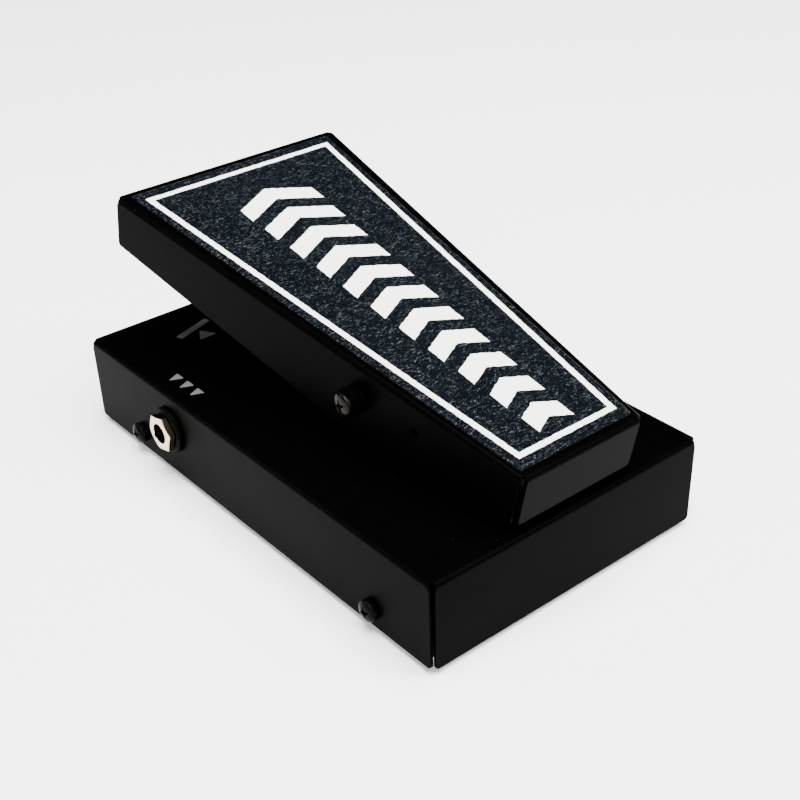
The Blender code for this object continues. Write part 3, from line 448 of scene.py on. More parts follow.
def deck_ink():
    """Grey screen-printed ink with pinholes."""
    look = Surface("deck_ink", IOR=1.3)
    pinholes = look.cells(0.9 * MM).below(0.13, 0.06)
    density = look.noise(1.4 * MM, 4.0)
    ink = look.blend(density, (0.055, 0.056, 0.057), (0.095, 0.096, 0.095))
    look.set(Base_Color=look.blend(pinholes, ink, (0.01, 0.01, 0.01)))
    look.set(Roughness=density.spread(0.5, 0.7))
    look.bump(density - pinholes, 0.01 * MM)
    return look.material


def taper_edge(across, along, halves, ends):
    """How far inside a symmetric taper a point is: halves are its half widths at the two ends."""
    slope = (halves[1] - halves[0]) / (ends[1] - ends[0])
    side = across * -1.0 + along * slope + (halves[0] - slope * ends[0])
    inside = (side / math.hypot(1.0, slope)).math("MINIMUM", along - ends[0])
    return inside.math("MINIMUM", along * -1.0 + ends[1])


def grip_print(look):
    """Where the grip sheet is inked: its border, and a ladder of chevrons that widens to the toe."""
    x, y, _ = look.axes()
    wander = (look.noise(1.6 * MM) - 0.5) * PRINT_WANDER
    across = (x - PAD_SHIFT).math("ABSOLUTE") + wander
    along = y + wander
    halves = (BORDER_HEEL_HALF, BORDER_TOE_HALF)
    inside = taper_edge(across, along, halves, (BORDER_HEEL, BORDER_TOE))
    border = inside.above(0.0, PRINT_BLUR) * inside.below(BORDER_WIDTH, PRINT_BLUR)
    step = (along + across * CHEVRON_SLOPE - CHEVRON_HEEL) / CHEVRON_PITCH
    rung = step.math("FLOOR")
    share = step - rung
    blur = PRINT_BLUR / CHEVRON_PITCH
    growth = (CHEVRON_HALF[1] - CHEVRON_HALF[0]) / (CHEVRON_COUNT - 1)
    width = rung * growth + CHEVRON_HALF[0]
    chevron = share.below(CHEVRON_SHARE, blur) * share.above(CHEVRON_START, blur)
    chevron = chevron * (width - across).above(0.0, PRINT_BLUR)
    chevron = chevron * step.above(0.0, CHEVRON_START) * step.below(float(CHEVRON_COUNT), CHEVRON_START)
    return border.math("MAXIMUM", chevron)


def grip_sheet():
    """Blue-black grained sheet with pale flecks painted on its ridge crests and specks as glints (painted
    highlights), a white print and a black cut edge.
    """
    look = Surface("grip_sheet", IOR=1.1)
    ink = grip_print(look)
    drawn = look.stretched(*GRAIN_STRETCH, 1.0)
    wrinkle = look.noise(1.0 * MM, 3.0, drawn, 1.2)
    crests = ((wrinkle - 0.5).math("ABSOLUTE") * -20.0 + 1.0).math("MAXIMUM", 0.0)
    broken = look.noise(0.8 * MM, 2.0, drawn).above(0.57, 0.05)
    # specks: small spots that also take the painted glint colour
    specks = look.noise(0.35 * MM, 1.0).above(0.72, 0.08)
    warmth = look.noise(2.6 * MM, 1.0).above(0.5, 0.3)
    grit = look.noise(0.3 * MM)
    sheet = look.blend(look.noise(9.0 * MM, 3.0), (0.0004, 0.001, 0.002), (0.001, 0.002, 0.0036))
    # painted highlight: the pale glint colour of the crests and specks, standing in for light caught on the grain
    painted_glint = look.blend(warmth, (0.07, 0.09, 0.105), (0.09, 0.09, 0.092))
    # the sheet's own dark tone, with painted glints laid on its broken crests and on the specks
    grain = look.blend((crests * broken).math("MAXIMUM", specks), sheet, painted_glint)
    paint = look.blend(look.noise(2.5 * MM, 4.0), (0.76, 0.82, 0.75), (0.86, 0.91, 0.83))
    top = look.axes()[2].above(PAD_TOP - PAD_WALL, 0.1 * MM)
    look.set(Base_Color=look.blend(top, (0.0004, 0.0004, 0.0004), look.blend(ink, grain, paint)))
    look.set(Roughness=ink.spread(0.34, 0.5) + grit * 0.12)
    look.bump((crests * 1.4 + grit) * ink.spread(1.0, 0.2), 0.1 * MM)
    return look.material


def floor_finish():
    look = Surface("pale_floor")
    cloud = look.noise(0.6, 3.0)
    look.set(Base_Color=look.blend(cloud, (0.94, 0.94, 0.94), (0.96, 0.96, 0.96)))
    look.set(Roughness=cloud.spread(0.75, 0.85))
    return look.material


def make_finishes():
    """One finish for each material slot of the record, and the three that only this file uses."""
    return {
        "black_powder_coat": powder_coat(),
        "black_plastic": moulded_plastic(
            "black_plastic", (0.0006, 0.0006, 0.0006), (0.0012, 0.0012, 0.0013), 1.06, 0.42
        ),
        "black_nickel": black_nickel("black_nickel", 1.16),
        "oiled_nickel": black_nickel("oiled_nickel", 1.09),
        "nickel": plated("bright_nickel", (0.6, 0.46, 0.3), (0.66, 0.52, 0.35), (0.04, 0.1), 0.0005 * MM),
        "zinc_plate": zinc_plate(),
        "steel": plated("bare_steel", (0.36, 0.36, 0.36), (0.5, 0.49, 0.48), (0.28, 0.46), 0.004 * MM),
        "brass": plated("turned_brass", (0.5, 0.33, 0.12), (0.68, 0.48, 0.2), (0.22, 0.4), 0.004 * MM),
        "aluminium": plated("drawn_aluminium", (0.6, 0.6, 0.62), (0.72, 0.72, 0.73), (0.3, 0.48), 0.004 * MM),
        "matt_plastic": moulded_plastic(
            "matt_plastic", (0.0002, 0.0002, 0.0002), (0.0004, 0.0004, 0.0004), 1.03, 0.5
        ),
        "rubber": rubber(),
        "nylon": nylon(),
        "grip_sheet": grip_sheet(),
        "circuit_board_green": circuit_board(),
        "clear_plastic": clear_lens(),
        "wire_sleeve": wire_sleeve(),
        "deck_ink": deck_ink(),
    }


# ---------------------------------------------------------------- shape helpers


def facing(direction, origin):
    """A matrix that puts local +Z along direction, at origin."""
    turn = UP.rotation_difference(Vector(direction).normalized())
    return Matrix.Translation(origin) @ turn.to_matrix().to_4x4()


def new_object(name, bm, frame=None):
    mesh = bpy.data.meshes.new(name)
    bm.to_mesh(mesh)
    bm.free()
    obj = bpy.data.objects.new(name, mesh)
    bpy.context.scene.collection.objects.link(obj)
    obj.matrix_world = frame or Matrix.Identity(4)
    return obj


def bake_shape(obj, angle=32.0):
    """Shades obj smooth except at edges sharper than angle, and moves its place into its mesh."""
    obj.data.shade_smooth()
    obj.data.set_sharp_from_angle(angle=math.radians(angle))
    obj.data.transform(obj.matrix_world)
    obj.matrix_world = Matrix.Identity(4)
    weigh = obj.modifiers.new("shading", "WEIGHTED_NORMAL")
    weigh.keep_sharp = True
    weigh.weight = 100
    apply_modifiers(obj)
    return obj


def apply_modifiers(obj):
    bpy.context.view_layer.update()
    graph = bpy.context.evaluated_depsgraph_get()
    mesh = bpy.data.meshes.new_from_object(obj.evaluated_get(graph))
    obj.modifiers.clear()
    obj.data = mesh


def cut(obj, *cutters, operation="DIFFERENCE"):
    """Applies each cutter to obj and removes it."""
    for cutter in cutters:
        boolean = obj.modifiers.new("cut", "BOOLEAN")
        boolean.operation = operation
        boolean.object = cutter
    apply_modifiers(obj)
    for cutter in cutters:
        bpy.data.objects.remove(cutter)


def block(size, centre, frame=None):
    bm = bmesh.new()
    bmesh.ops.create_cube(bm, size=1.0)
    bmesh.ops.scale(bm, vec=size, verts=bm.verts)
    return new_object("block", bm, (frame or Matrix.Identity(4)) @ Matrix.Translation(centre))


def rod(radius, start, end, sides=ROUND, frame=None):
    start, end = Vector(start), Vector(end)
    bm = bmesh.new()
    bmesh.ops.create_cone(
        bm, cap_ends=True, segments=sides, radius1=radius, radius2=radius, depth=(end - start).length
    )
    return new_object("rod", bm, (frame or Matrix.Identity(4)) @ facing(end - start, (start + end) / 2))


def turned(name, profile, matrix, sides=ROUND):
    """A solid turned about matrix's Z. Its (radius, height) profile is a loop, or ends on the axis."""
    bm = bmesh.new()
    rings = []
    for radius, height in profile:
        if radius < 1e-7:
            rings.append([bm.verts.new((0.0, 0.0, height))])
            continue
        angles = [2 * math.pi * side / sides for side in range(sides)]
        rings.append([bm.verts.new((radius * math.cos(a), radius * math.sin(a), height)) for a in angles])
    pairs = list(zip(rings, rings[1:]))
    if len(rings[0]) > 1:
        pairs.append((rings[-1], rings[0]))
    for upper, lower in pairs:
        for side in range(sides):
            following = (side + 1) % sides
            corners = [upper[side % len(upper)], lower[side % len(lower)]]
            if len(lower) > 1:
                corners.append(lower[following])
            if len(upper) > 1:
                corners.append(upper[following])
            if len(corners) > 2:
                bm.faces.new(corners)
    bmesh.ops.recalc_face_normals(bm, faces=bm.faces)
    return new_object(name, bm, matrix)


def fillet(points, radii, segments=6):
    """A closed outline whose corners are rounded: radii holds one radius for each point."""
    outline = []
    count = len(points)
    for index, (point, radius) in enumerate(zip(points, radii)):
        corner = Vector(point)
        to_last = (Vector(points[index - 1]) - corner).normalized()
        to_next = (Vector(points[(index + 1) % count]) - corner).normalized()
        if radius == 0.0:
            outline.append(corner)
            continue
        half = to_last.angle(to_next) / 2
        centre = corner + (to_last + to_next).normalized() * radius / math.sin(half)
        first = corner + to_last * radius / math.tan(half) - centre
        last = corner + to_next * radius / math.tan(half) - centre
        turn = first.angle_signed(last)
        for step in range(segments + 1):
            outline.append(centre + Matrix.Rotation(-turn * step / segments, 2) @ first)
    return outline


def dome(radius, base, height, steps=8):
    """Points of a crown from its tip down to its rim."""
    angles = [math.pi / 2 * step / steps for step in range(steps + 1)]
    return [(radius * math.sin(a), base + height * math.cos(a)) for a in angles]


def show(obj, finish, body, slot, *nodes):
    """Gives a new piece its finish and its body, and hides the CAD nodes that it stands for. slot is not used."""
    obj.data.materials.clear()
    obj.data.materials.append(FINISHES[finish])
    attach(obj, body)
    if nodes:
        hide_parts(*nodes)


# ---------------------------------------------------------------- folded sheets


def corner_directions(corners, index):
    corner = corners[index]
    before = (corners[index - 1] - corner).normalized()
    after = (corners[(index + 1) % len(corners)] - corner).normalized()
    return before, after


def flat_corner(corners, index, inset_before, inset_after):
    before, after = corner_directions(corners, index)
    return corners[index] + (before * inset_after + after * inset_before) / math.sin(before.angle(after))


def full_wall(corners, index, depths, bottom, slits):
    """The outline of a wall over a whole side: depths at its ends, bottom for points between."""
    following = (index + 1) % len(corners)
    length = (corners[following] - corners[index]).length
    starts = []
    for end in (index, following):
        before, after = corner_directions(corners, end)
        starts.append((FOLD_RADIUS + NOTCH_MARGIN) / math.tan(before.angle(after) / 2))
    neck = FOLD_RADIUS + NECK
    shoulder = neck + SHOULDER
    points = [(starts[0], neck), (slits[0], shoulder), (slits[1], depths[0]), *bottom]
    points += [(length - slits[1], depths[1]), (length - slits[0], shoulder), (length - starts[1], neck)]
    return points


def rounded_bottom(outline, radii):
    """Rounds the lowest corners of a wall outline, one radius for each point from the third on."""
    return fillet(outline, [0.0, 0.0, *radii, 0.0, 0.0])


def folded_sheet(name, corners, flanges, top, sheet, fold, frame):
    """A flat sheet with flanges folded down: flanges holds an outline or None for each side."""
    notch = fold + NOTCH_MARGIN
    insets = [notch if outline else 0.0 for outline in flanges]
    bm = bmesh.new()
    flat = []
    walls = []
    for index, (corner, outline) in enumerate(zip(corners, flanges)):
        _, along = corner_directions(corners, index)
        inwards = Vector((-along.y, along.x)) * notch
        flat.append(bm.verts.new((*flat_corner(corners, index, insets[index - 1], insets[index]), top)))
        if not outline:
            continue
        start = corner + along * outline[0][0]
        end = corner + along * outline[-1][0]
        tongue = [bm.verts.new((*place, top)) for place in (start + inwards, start, end, end + inwards)]
        flat += tongue
        places = [(corner + along * distance, top - depth) for distance, depth in outline]
        walls.append([tongue[1], *[bm.verts.new((*place, height)) for place, height in places], tongue[2]])
    bm.faces.new(flat)
    for wall in walls:
        bm.faces.new(wall)
    bmesh.ops.remove_doubles(bm, verts=bm.verts, dist=1e-6)
    straight = [vert for vert in bm.verts if len(vert.link_edges) == 2 and vert.calc_edge_angle() < 1e-3]
    bmesh.ops.dissolve_verts(bm, verts=straight)
    bmesh.ops.recalc_face_normals(bm, faces=bm.faces)
    if max(bm.faces, key=lambda face: face.calc_center_median().z).normal.z < 0:
        bmesh.ops.reverse_faces(bm, faces=bm.faces)
    obj = new_object(name, bm, frame)
    bend = obj.modifiers.new("folds", "BEVEL")
    bend.limit_method = "ANGLE"
    bend.width = fold
    bend.segments = FOLD_SEGMENTS
    thicken = obj.modifiers.new("sheet", "SOLIDIFY")
    thicken.thickness = sheet
    thicken.offset = -1.0
    thicken.use_even_offset = True
    edges = obj.modifiers.new("cut edges", "BEVEL")
    edges.limit_method = "ANGLE"
    edges.angle_limit = CUT_EDGE_ANGLE
    edges.width = CUT_EDGE
    edges.segments = 2
    return obj


def taper_corners(start_half, end_half, start, end):
    """Corners of a sheet from start to end along Y, anticlockwise, with its half width at each."""
    corners = ((-start_half, start), (start_half, start), (end_half, end), (-end_half, end))
    return [Vector(corner) for corner in corners]


def hole(place, axis, radius, reach, frame=None):
    along = axis * reach
    return rod(radius, Vector(place) - along, Vector(place) + along, frame=frame)


# ---------------------------------------------------------------- places of CAD nodes


def centre_of(node):
    low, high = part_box(node)
    return (low + high) / 2


def ends_along(node, out):
    """The inner and outer ends of a node's box along an axis, and its length."""
    low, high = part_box(node)
    centre = (low + high) / 2
    length = abs((high - low).dot(out))
    return centre - out * length / 2, centre + out * length / 2, length


def outwards(node):
    return ACROSS * math.copysign(1.0, centre_of(node).x)


# ---------------------------------------------------------------- base


def wall_hole(node, half, radius):
    """A cutter through the side wall where a node passes it."""
    place = centre_of(node)
    return hole((math.copysign(half, place.x), place.y, place.z), ACROSS, radius, HOLE_REACH)


def case_cutters(half_x, half_y):
    slot_size = (2 * SLOT_HALF_WIDTH, SLOT_Y[1] - SLOT_Y[0], 2 * HOLE_REACH)
    cutters = [block(slot_size, (0.0, sum(SLOT_Y) / 2, DECK_Z))]
    cutters += [wall_hole(f"{name}_nut", half_x, JACK_HOLE) for name in JACKS]
    socket = centre_of("power_socket_nut")
    cutters.append(hole((socket.x, half_y, socket.z), TOEWARDS, SOCKET_BUSH, HOLE_REACH))
    cutters += [wall_hole(node, half_x, SIDE_SCREW_HOLE) for node in SIDE_SCREWS]
    cutters += [hole((0.0, centre_of(node).y, DECK_Z), UP, STUD_HOLE, HOLE_REACH) for node in BUFFERS]
    return cutters


def make_case():
    """The folded case, with its open corner slits and every hole that something passes through."""
    _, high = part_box("base_shell")
    corners = taper_corners(high.x, high.x, -high.y, high.y)
    height = DECK_Z - SHELL_FOOT
    walls = []
    for index in range(len(corners)):
        wall = full_wall(corners, index, (height, height), [], BASE_SLITS)
        walls.append(rounded_bottom(wall, (WALL_CORNER, WALL_CORNER)))
    case = folded_sheet("case", corners, walls, DECK_Z, SHEET, FOLD_RADIUS, None)
    cut(case, *case_cutters(high.x, high.y))
    show(bake_shape(case), "black_powder_coat", "base", "black_powder_coat", "base_shell")


def recess_cutters(arm, depth, matrix):
    """A cross recess: two tapered blades and the cone at its bottom."""
    cutters = []
    for quarter in (0, 1):
        bm = bmesh.new()
        bmesh.ops.create_cube(bm, size=1.0)
        bmesh.ops.scale(bm, vec=(2 * arm, BLADE_WIDTH * arm, 2 * depth), verts=bm.verts)
        for vertex in bm.verts:
            if vertex.co.z < 0:
                vertex.co.x *= BLADE_TAPER[0]
                vertex.co.y *= BLADE_TAPER[1]
        turn = Matrix.Rotation(math.pi / 2 * quarter + RECESS_TURN, 4, "Z")
        cutters.append(new_object("blade", bm, matrix @ turn))
    core = [(radius * arm, height * depth) for radius, height in RECESS_CORE]
    cutters.append(turned("core", core, matrix, 24))
    return cutters


def make_cross_screw(node, direction, size, finish, slot):
    """A pan-head screw whose crown is where the CAD screw's is."""
    head, height = size
    _, crown, length = ends_along(node, direction)
    rim = height * HEAD_RIM
    shank = SHANK * head
    profile = dome(head, rim - height, height - rim)
    profile += [(head, HEAD_UNDERCUT * height - height), (head * HEAD_UNDERSIDE, -height), (shank, -height)]
    profile += [(shank, shank * SHANK_TAPER - length), (shank * SHANK_TIP, -length), (0.0, -length)]
    matrix = facing(direction, crown)
    screw = turned(f"{node}_cross", profile, matrix)
    cut(screw, *recess_cutters(head * RECESS_ARM, height * RECESS_DEPTH, matrix))
    show(bake_shape(screw), finish, "base", slot, node)


def make_side_screws():
    for node in SIDE_SCREWS:
        make_cross_screw(node, outwards(node), SIDE_SCREW, "oiled_nickel", "black_nickel")


def make_collar(name, node, out, bore, size, finish):
    """A moulded ring with rounded rims. size is its radius and its bevelled edge."""
    radius, edge = size
    seat, _, height = ends_along(node, out)
    outline = [(bore, height), (radius - edge, height), (radius, height - edge), (radius, 0.0), (bore, 0.0)]
    rim, bevel = COLLAR_RIM_ROUNDING, COLLAR_ROUNDING
    ring = turned(name, fillet(outline, (rim, bevel, bevel, rim, rim), 3), facing(out, seat))
    show(bake_shape(ring), finish, "base", "black_plastic", node)


def nut_crown(flats, height):
    """Profile of a cone that turns down the corners of a nut."""
    face = flats / 2 * NUT_FACE
    clear = flats / math.sqrt(3) + NUT_CLEARANCE
    rim = height - (clear - face) * NUT_SLOPE
    return [(0.0, height + MM), (face, height + MM), (face, height), (clear, rim), (clear, -MM), (0.0, -MM)]


def make_hex_nut(name, node, out, flats, bore, turn=0.0, lip=None):
    """A hexagon nut with turned corners. lip is the bore and thickness of its front lip."""
    seat, front, height = ends_along(node, out)
    nut = rod(flats / math.sqrt(3), seat, front, sides=6)
    nut.name = name
    nut.data.transform(Matrix.Rotation(turn, 4, "Z"))
    rounding = nut.modifiers.new("corners", "BEVEL")
    rounding.width = NUT_ROUNDING
    rounding.segments = 3
    cut(nut, turned("crown", nut_crown(flats, height), facing(out, seat)), operation="INTERSECT")
    if lip:
        lip_bore, lip_height = lip
        around = Matrix.Translation(front) @ Matrix.Rotation(KEY_TURN, 4, "X")
        key = block(KEY_SIZE, (0.0, lip_bore, 0.0), around)
        thread = rod(bore, seat - out * MM, front - out * lip_height)
        cut(nut, thread, rod(lip_bore, seat, front + out * MM), key)
    else:
        cut(nut, rod(bore, seat - out * MM, front + out * MM))
    show(bake_shape(nut, 25.0), "nickel", "base", "nickel", node)


def make_sockets():
    for name in JACKS:
        out = outwards(f"{name}_nut")
        make_collar(f"{name}_collar", f"{name}_washer", out, JACK_BUSH, JACK_COLLAR, "black_plastic")
        make_hex_nut(f"{name}_hexagon", f"{name}_nut", out, JACK_NUT_FLATS, JACK_BUSH, JACK_NUT_TURN, NUT_LIP)
    make_hex_nut("supply_hexagon", "power_socket_nut", TOEWARDS, SOCKET_NUT_FLATS, SOCKET_BUSH)


def make_feet():
    """Rubber feet with a barbed stem and a hollow in the sole."""
    outer, inner, hollow = FOOT_HOLLOW
    for node in FEET:
        low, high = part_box(node)
        centre = (low + high) / 2
        radius = (high.x - low.x) / 2
        outline = [(0.0, high.z), (FOOT_TIP, high.z), FOOT_BARB, FOOT_STEM, (FOOT_STEM[0], FOOT_BODY)]
        outline += [(radius, FOOT_BODY), (radius - FOOT_TAPER, FOOT_TAPER), (radius - FOOT_SOLE_INSET, 0.0)]
        outline += [(outer, 0.0), (inner, hollow), (0.0, hollow)]
        foot = turned(f"{node}_rubber", outline, Matrix.Translation((centre.x, centre.y, 0.0)))
        show(bake_shape(foot), "rubber", "base", "rubber", node)


def make_buffers():
    """The rubber stops, each with its crown, a groove and a stud through the deck."""
    for node in BUFFERS:
        low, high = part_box(node)
        radius = (high.x - low.x) / 2
        under = DECK_Z + BUFFER_GAP
        groove = radius - BUFFER_GROOVE
        sides = zip((radius, groove, groove, radius), BUFFER_GROOVE_Z)
        profile = dome(radius, high.z - BUFFER_CROWN, BUFFER_CROWN)
        profile += [(side, under + height) for side, height in sides]
        profile += [(radius, under), (BUFFER_STUD, under), (BUFFER_STUD, low.z), (0.0, low.z)]
        place = Matrix.Translation((0.0, centre_of(node).y, 0.0))
        stop = turned(f"{node}_rubber", profile, place)
        show(bake_shape(stop), "rubber", "base", "rubber", node)


# ---------------------------------------------------------------- hinge


def make_bracket():
    """The U bracket, turned over so that its flanges stand up as ears."""
    low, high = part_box("pivot_bracket")
    half, foot = high.x, (high.y - low.y) / 2
    rise = HINGE.z - low.z
    neck = BRACKET_FOLD + SHOULDER
    ear = [(0.0, neck), (foot - EAR_TOP, rise + EAR_TOP), (foot + EAR_TOP, rise + EAR_TOP), (2 * foot, neck)]
    outline = fillet(ear, (0.0, EAR_ROUNDING, EAR_ROUNDING, 0.0), 12)
    corners = taper_corners(half, half, -foot, foot)
    frame = Matrix.Translation((0.0, HINGE.y, low.z)) @ Matrix.Rotation(math.pi, 4, "Y")
    flanges = [None, outline, None, outline]
    bracket = folded_sheet("bracket", corners, flanges, 0.0, BRACKET_SHEET, BRACKET_FOLD, frame)
    cutters = [hole(HINGE, ACROSS, PIVOT_BORE, 2 * half)]
    for node in BRACKET_SCREWS:
        place = centre_of(node)
        cutters.append(hole((place.x, place.y, low.z), UP, BRACKET_SCREW_HOLE, BRACKET_SCREW_REACH))
    cut(bracket, *cutters)
    show(bake_shape(bracket), "black_powder_coat", "base", "black_powder_coat", "pivot_bracket")


def make_hinge_hardware():
    for side in ("left", "right"):
        screw = f"pivot_screw_{side}"
        washer = f"pivot_washer_{side}"
        out = outwards(screw)
        make_collar(f"pivot_collar_{side}", washer, out, PIVOT_BORE, PIVOT_COLLAR, "matt_plastic")
        make_cross_screw(screw, out, PIVOT_SCREW, "black_nickel", "black_nickel")
    for node in BRACKET_SCREWS:
        make_cross_screw(node, UP, INNER_SCREW, "steel", "steel")


# ---------------------------------------------------------------- treadle


def make_tray():
    """The tapered tray: its side skirts are deepest at the hinge."""
    corners = taper_corners(HEEL_HALF_WIDTH, TOE_HALF_WIDTH, TREADLE_HEEL, TREADLE_TOE)
    side_length = (corners[2] - corners[1]).length
    hinge = side_length * -TREADLE_HEEL / (TREADLE_TOE - TREADLE_HEEL)
    slopes = (HEEL_DEPTH, TOE_DEPTH)
    heel = full_wall(corners, 0, (HEEL_DEPTH, HEEL_DEPTH), [], TREADLE_SLITS)
    right = full_wall(corners, 1, slopes, [(hinge, SKIRT_DEPTH)], TREADLE_SLITS)
    toe = full_wall(corners, 2, (TOE_DEPTH, TOE_DEPTH), [], TREADLE_SLITS)
    left = full_wall(corners, 3, slopes[::-1], [(side_length - hinge, SKIRT_DEPTH)], TREADLE_SLITS)
    ends = (SKIRT_CORNER, SKIRT_CORNER)
    skirts = (SKIRT_CORNER, SKIRT_APEX, SKIRT_CORNER)
    walls = [rounded_bottom(wall, radii) for wall, radii in zip((heel, right, toe, left), (ends, skirts) * 2)]
    tray = folded_sheet("tray", corners, walls, TREADLE_TOP, SHEET, FOLD_RADIUS, TREADLE_FRAME)
    reach = TOE_HALF_WIDTH
    cutters = [
        hole((0.0, 0.0, 0.0), ACROSS, PIVOT_HOLE, reach, TREADLE_FRAME),
        hole(SIDE_HOLE, ACROSS, SIDE_HOLE_RADIUS, reach, TREADLE_FRAME),
    ]
    cut(tray, *cutters)
    show(bake_shape(tray), "black_powder_coat", "treadle", "black_powder_coat", "treadle_shell")


def pad_half_width(along):
    """Half width of the grip sheet at this distance, with its rounded corners."""
    share = (along - PAD_HEEL) / (PAD_TOE - PAD_HEEL)
    half = PAD_HEEL_HALF + (PAD_TOE_HALF - PAD_HEEL_HALF) * share
    nearest = min(along - PAD_HEEL, PAD_TOE - along)
    if nearest >= PAD_CORNER:
        return half
    inset = PAD_CORNER - math.sqrt(max(0.0, PAD_CORNER**2 - (PAD_CORNER - nearest) ** 2))
    return half - inset


def grain_height(x, y):
    """0…1 height of the wrinkled grain: short ridges and pebbles on a broad swell."""
    place = Vector((GRAIN_STRETCH[0] * x, GRAIN_STRETCH[1] * y, 0.0)) / MM
    bent = place + noise.noise_vector(place * 0.7) * 0.6
    ridges = 1.0 - abs(noise.noise(bent * 1.05)) * 2.2
    pebbles = noise.noise(bent * 1.9 + Vector((7.0, 3.0, 0.0)))
    swell = noise.noise(place * 0.22)
    return max(0.0, min(1.0, 0.45 + 0.18 * ridges + 0.3 * pebbles + 0.12 * swell))


def pad_point(along, share):
    """A point of the grip sheet's upper side. share runs from -1 at its left edge to 1 at its right."""
    half = pad_half_width(along)
    x = half * share
    end = min(along - PAD_HEEL, PAD_TOE - along, half - abs(x))
    rolled = max(0.0, 1.0 - end / PAD_ROLL_WIDTH) ** 2 * PAD_ROLL
    ragged = max(0.0, 1.0 - end / PAD_RAGGED_WIDTH) * PAD_RAGGED
    wander = noise.noise_vector(Vector((x, along, 0.0)) / PAD_RAGGED_SIZE) * ragged
    inwards = abs(wander.x) * math.copysign(1.0, x)
    depth = GRAIN_DEPTH * (1.0 - grain_height(x, along))
    return PAD_SHIFT + x - inwards, along + wander.y * 0.5, PAD_TOP - depth - rolled


def make_grip_sheet():
    """The grained grip sheet, as a fine grid that dips between its ridges, with a ragged cut edge."""
    noise.seed_set(GRAIN_SEED)
    bm = bmesh.new()
    rows = []
    for row in range(PAD_ROWS + 1):
        along = PAD_HEEL + (PAD_TOE - PAD_HEEL) * row / PAD_ROWS
        shares = [2.0 * column / PAD_COLUMNS - 1.0 for column in range(PAD_COLUMNS + 1)]
        rows.append([bm.verts.new(pad_point(along, share)) for share in shares])
    for lower, upper in zip(rows, rows[1:]):
        for column in range(PAD_COLUMNS):
            bm.faces.new((lower[column], lower[column + 1], upper[column + 1], upper[column]))
    rim = rows[0] + [row[-1] for row in rows[1:]] + rows[-1][-2::-1] + [row[0] for row in rows[-2:0:-1]]
    under = [bm.verts.new((vert.co.x, vert.co.y, PAD_UNDER)) for vert in rim]
    for index, vert in enumerate(rim):
        following = (index + 1) % len(rim)
        bm.faces.new((rim[following], vert, under[index], under[following]))
    bm.faces.new(under[::-1])
    bmesh.ops.recalc_face_normals(bm, faces=bm.faces)
    pad = new_object("grip_sheet", bm, TREADLE_FRAME)
    pad.data.shade_smooth()
    pad.data.set_sharp_from_angle(angle=math.radians(50))
    show(pad, "grip_sheet", "treadle", "grip_sheet", "tread_pad")


# ---------------------------------------------------------------- deck print


def ink_shape(name, outlines):
    """Thin films of ink on the deck, one for each outline."""
    bm = bmesh.new()
    low = DECK_Z + INK_LIFT
    for outline in outlines:
        lower = [bm.verts.new((x, y, low)) for x, y in outline]
        upper = [bm.verts.new((x, y, low + INK_FILM)) for x, y in outline]
        bm.faces.new(upper)
        bm.faces.new(lower[::-1])
        for index in range(len(outline)):
            following = (index + 1) % len(outline)
            bm.faces.new((lower[index], lower[following], upper[following], upper[index]))
    bmesh.ops.recalc_face_normals(bm, faces=bm.faces)
    show(new_object(name, bm), "deck_ink", "base", "black_powder_coat")


def arrow_outline(tip, y):
    """A triangle with softened corners. It points left, the way the signal goes."""
    base = tip + ARROW_LENGTH
    points = [(tip, y), (base, y + ARROW_HALF), (base, y - ARROW_HALF)]
    return fillet(points, [ARROW_CORNER] * len(points), 4)


def make_deck_print():
    """A rocker pictogram at the toe and three small arrows beside each jack."""
    outlines = []
    for shape, tilt in ((PICTOGRAM_BAR, PICTOGRAM_TILT), (PICTOGRAM_WEDGE, 0.0)):
        turn = Matrix.Rotation(tilt, 2)
        points = [turn @ Vector(point) * MM for point in shape]
        rounded = fillet(points, [PICTOGRAM_CORNER] * len(points), 4)
        outlines.append([PICTOGRAM_PLACE + point for point in rounded])
    ink_shape("rocker_pictogram", outlines)
    for name, side in (("output_arrows", -1), ("input_arrows", 1)):
        tip = side * ARROW_X - ARROW_LENGTH / 2
        places = [centre_of("output_jack_nut").y + step * ARROW_PITCH for step in (-1, 0, 1)]
        ink_shape(name, [arrow_outline(tip, y) for y in places])


# ---------------------------------------------------------------- stage


def make_floor():
    bm = bmesh.new()
    bmesh.ops.create_grid(bm, x_segments=1, y_segments=1, size=FLOOR_SIZE / 2)
    floor = new_object("floor", bm, Matrix.Translation((0.0, 0.0, -FLOOR_GAP)))
    floor.data.materials.append(floor_finish())


def add_light(name, place, size, power, colour):
    light = bpy.data.lights.new(name, "AREA")
    light.shape = "RECTANGLE"
    light.size, light.size_y = size
    light.energy = power
    light.color = colour
    obj = bpy.data.objects.new(name, light)
    obj.location = place
    obj.rotation_euler = (-Vector(place)).to_track_quat("-Z", "Y").to_euler()
    bpy.context.scene.collection.objects.link(obj)


def make_studio():
    """A dark surround that the camera sees as a pale backdrop, and the lights."""
    world = bpy.data.worlds.new("studio")
    world.use_nodes = True
    tree = world.node_tree
    background = tree.nodes["Background"]
    seen = Field(tree, tree.nodes.new("ShaderNodeLightPath").outputs["Is Camera Ray"])
    plug(tree, background.inputs["Strength"], seen.spread(SURROUND, BACKDROP))
    bpy.context.scene.world = world
    for settings in LIGHTS:
        add_light(*settings)


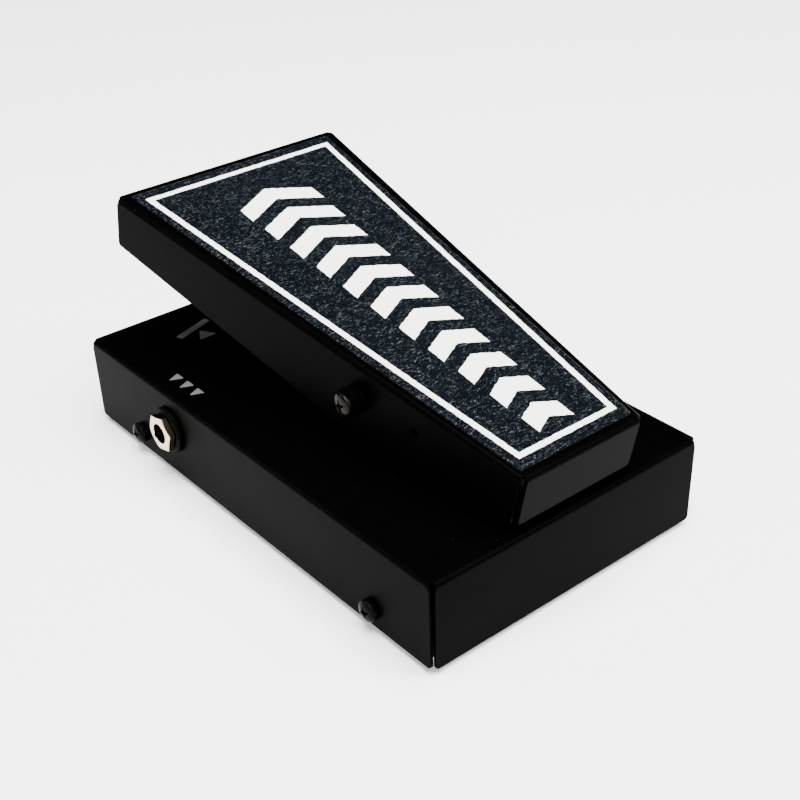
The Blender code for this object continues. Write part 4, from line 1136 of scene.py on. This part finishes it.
def make_camera():
    """The camera: back points away from what it sees, and it rolls about its own view."""
    aside = Vector((math.sin(CAMERA_AZIMUTH), -math.cos(CAMERA_AZIMUTH), 0.0))
    back = aside * math.cos(CAMERA_ELEVATION) + UP * math.sin(CAMERA_ELEVATION)
    level = (-back).cross(UP).normalized()
    upward = level.cross(-back)
    right = level * math.cos(CAMERA_ROLL) + upward * math.sin(CAMERA_ROLL)
    above = upward * math.cos(CAMERA_ROLL) - level * math.sin(CAMERA_ROLL)
    turn = Matrix((right, above, back)).transposed().to_4x4()
    camera = bpy.data.objects.new("camera", bpy.data.cameras.new("camera"))
    camera.matrix_world = Matrix.Translation(CAMERA_PLACE) @ turn
    camera.data.lens = CAMERA_LENS
    camera.data.shift_x, camera.data.shift_y = CAMERA_SHIFT
    camera.data.clip_start = CAMERA_NEAR
    bpy.context.scene.collection.objects.link(camera)
    bpy.context.scene.camera = camera


def finish_cad_nodes():
    """The CAD nodes that stay in view get the finish of their record slot."""
    slots = {row["node"]: row["material_slot"] for row in FRAME["record"]["subparts"]}
    for name, node in FRAME["nodes"].items():
        if node.hide_render:
            continue
        node.data.materials.clear()
        node.data.materials.append(FINISHES[slots[name]])


def main():
    make_camera()
    make_case()
    make_side_screws()
    make_sockets()
    make_feet()
    make_buffers()
    make_bracket()
    make_hinge_hardware()
    make_tray()
    make_grip_sheet()
    make_deck_print()
    finish_cad_nodes()
    make_floor()
    make_studio()


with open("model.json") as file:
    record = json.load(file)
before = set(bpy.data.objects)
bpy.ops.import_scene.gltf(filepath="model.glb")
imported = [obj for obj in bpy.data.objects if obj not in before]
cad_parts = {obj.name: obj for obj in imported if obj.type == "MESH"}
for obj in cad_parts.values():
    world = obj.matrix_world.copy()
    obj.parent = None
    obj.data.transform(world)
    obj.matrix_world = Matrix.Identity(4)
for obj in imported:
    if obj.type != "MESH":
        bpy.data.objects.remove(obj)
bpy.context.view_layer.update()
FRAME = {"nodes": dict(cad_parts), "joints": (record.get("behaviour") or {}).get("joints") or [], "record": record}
HINGE = Vector(FRAME["joints"][0]["pos_m"])
TREADLE_FRAME = Matrix.Translation(HINGE) @ Matrix.Rotation(REST_TILT, 4, "X")
FINISHES = make_finishes()
main()
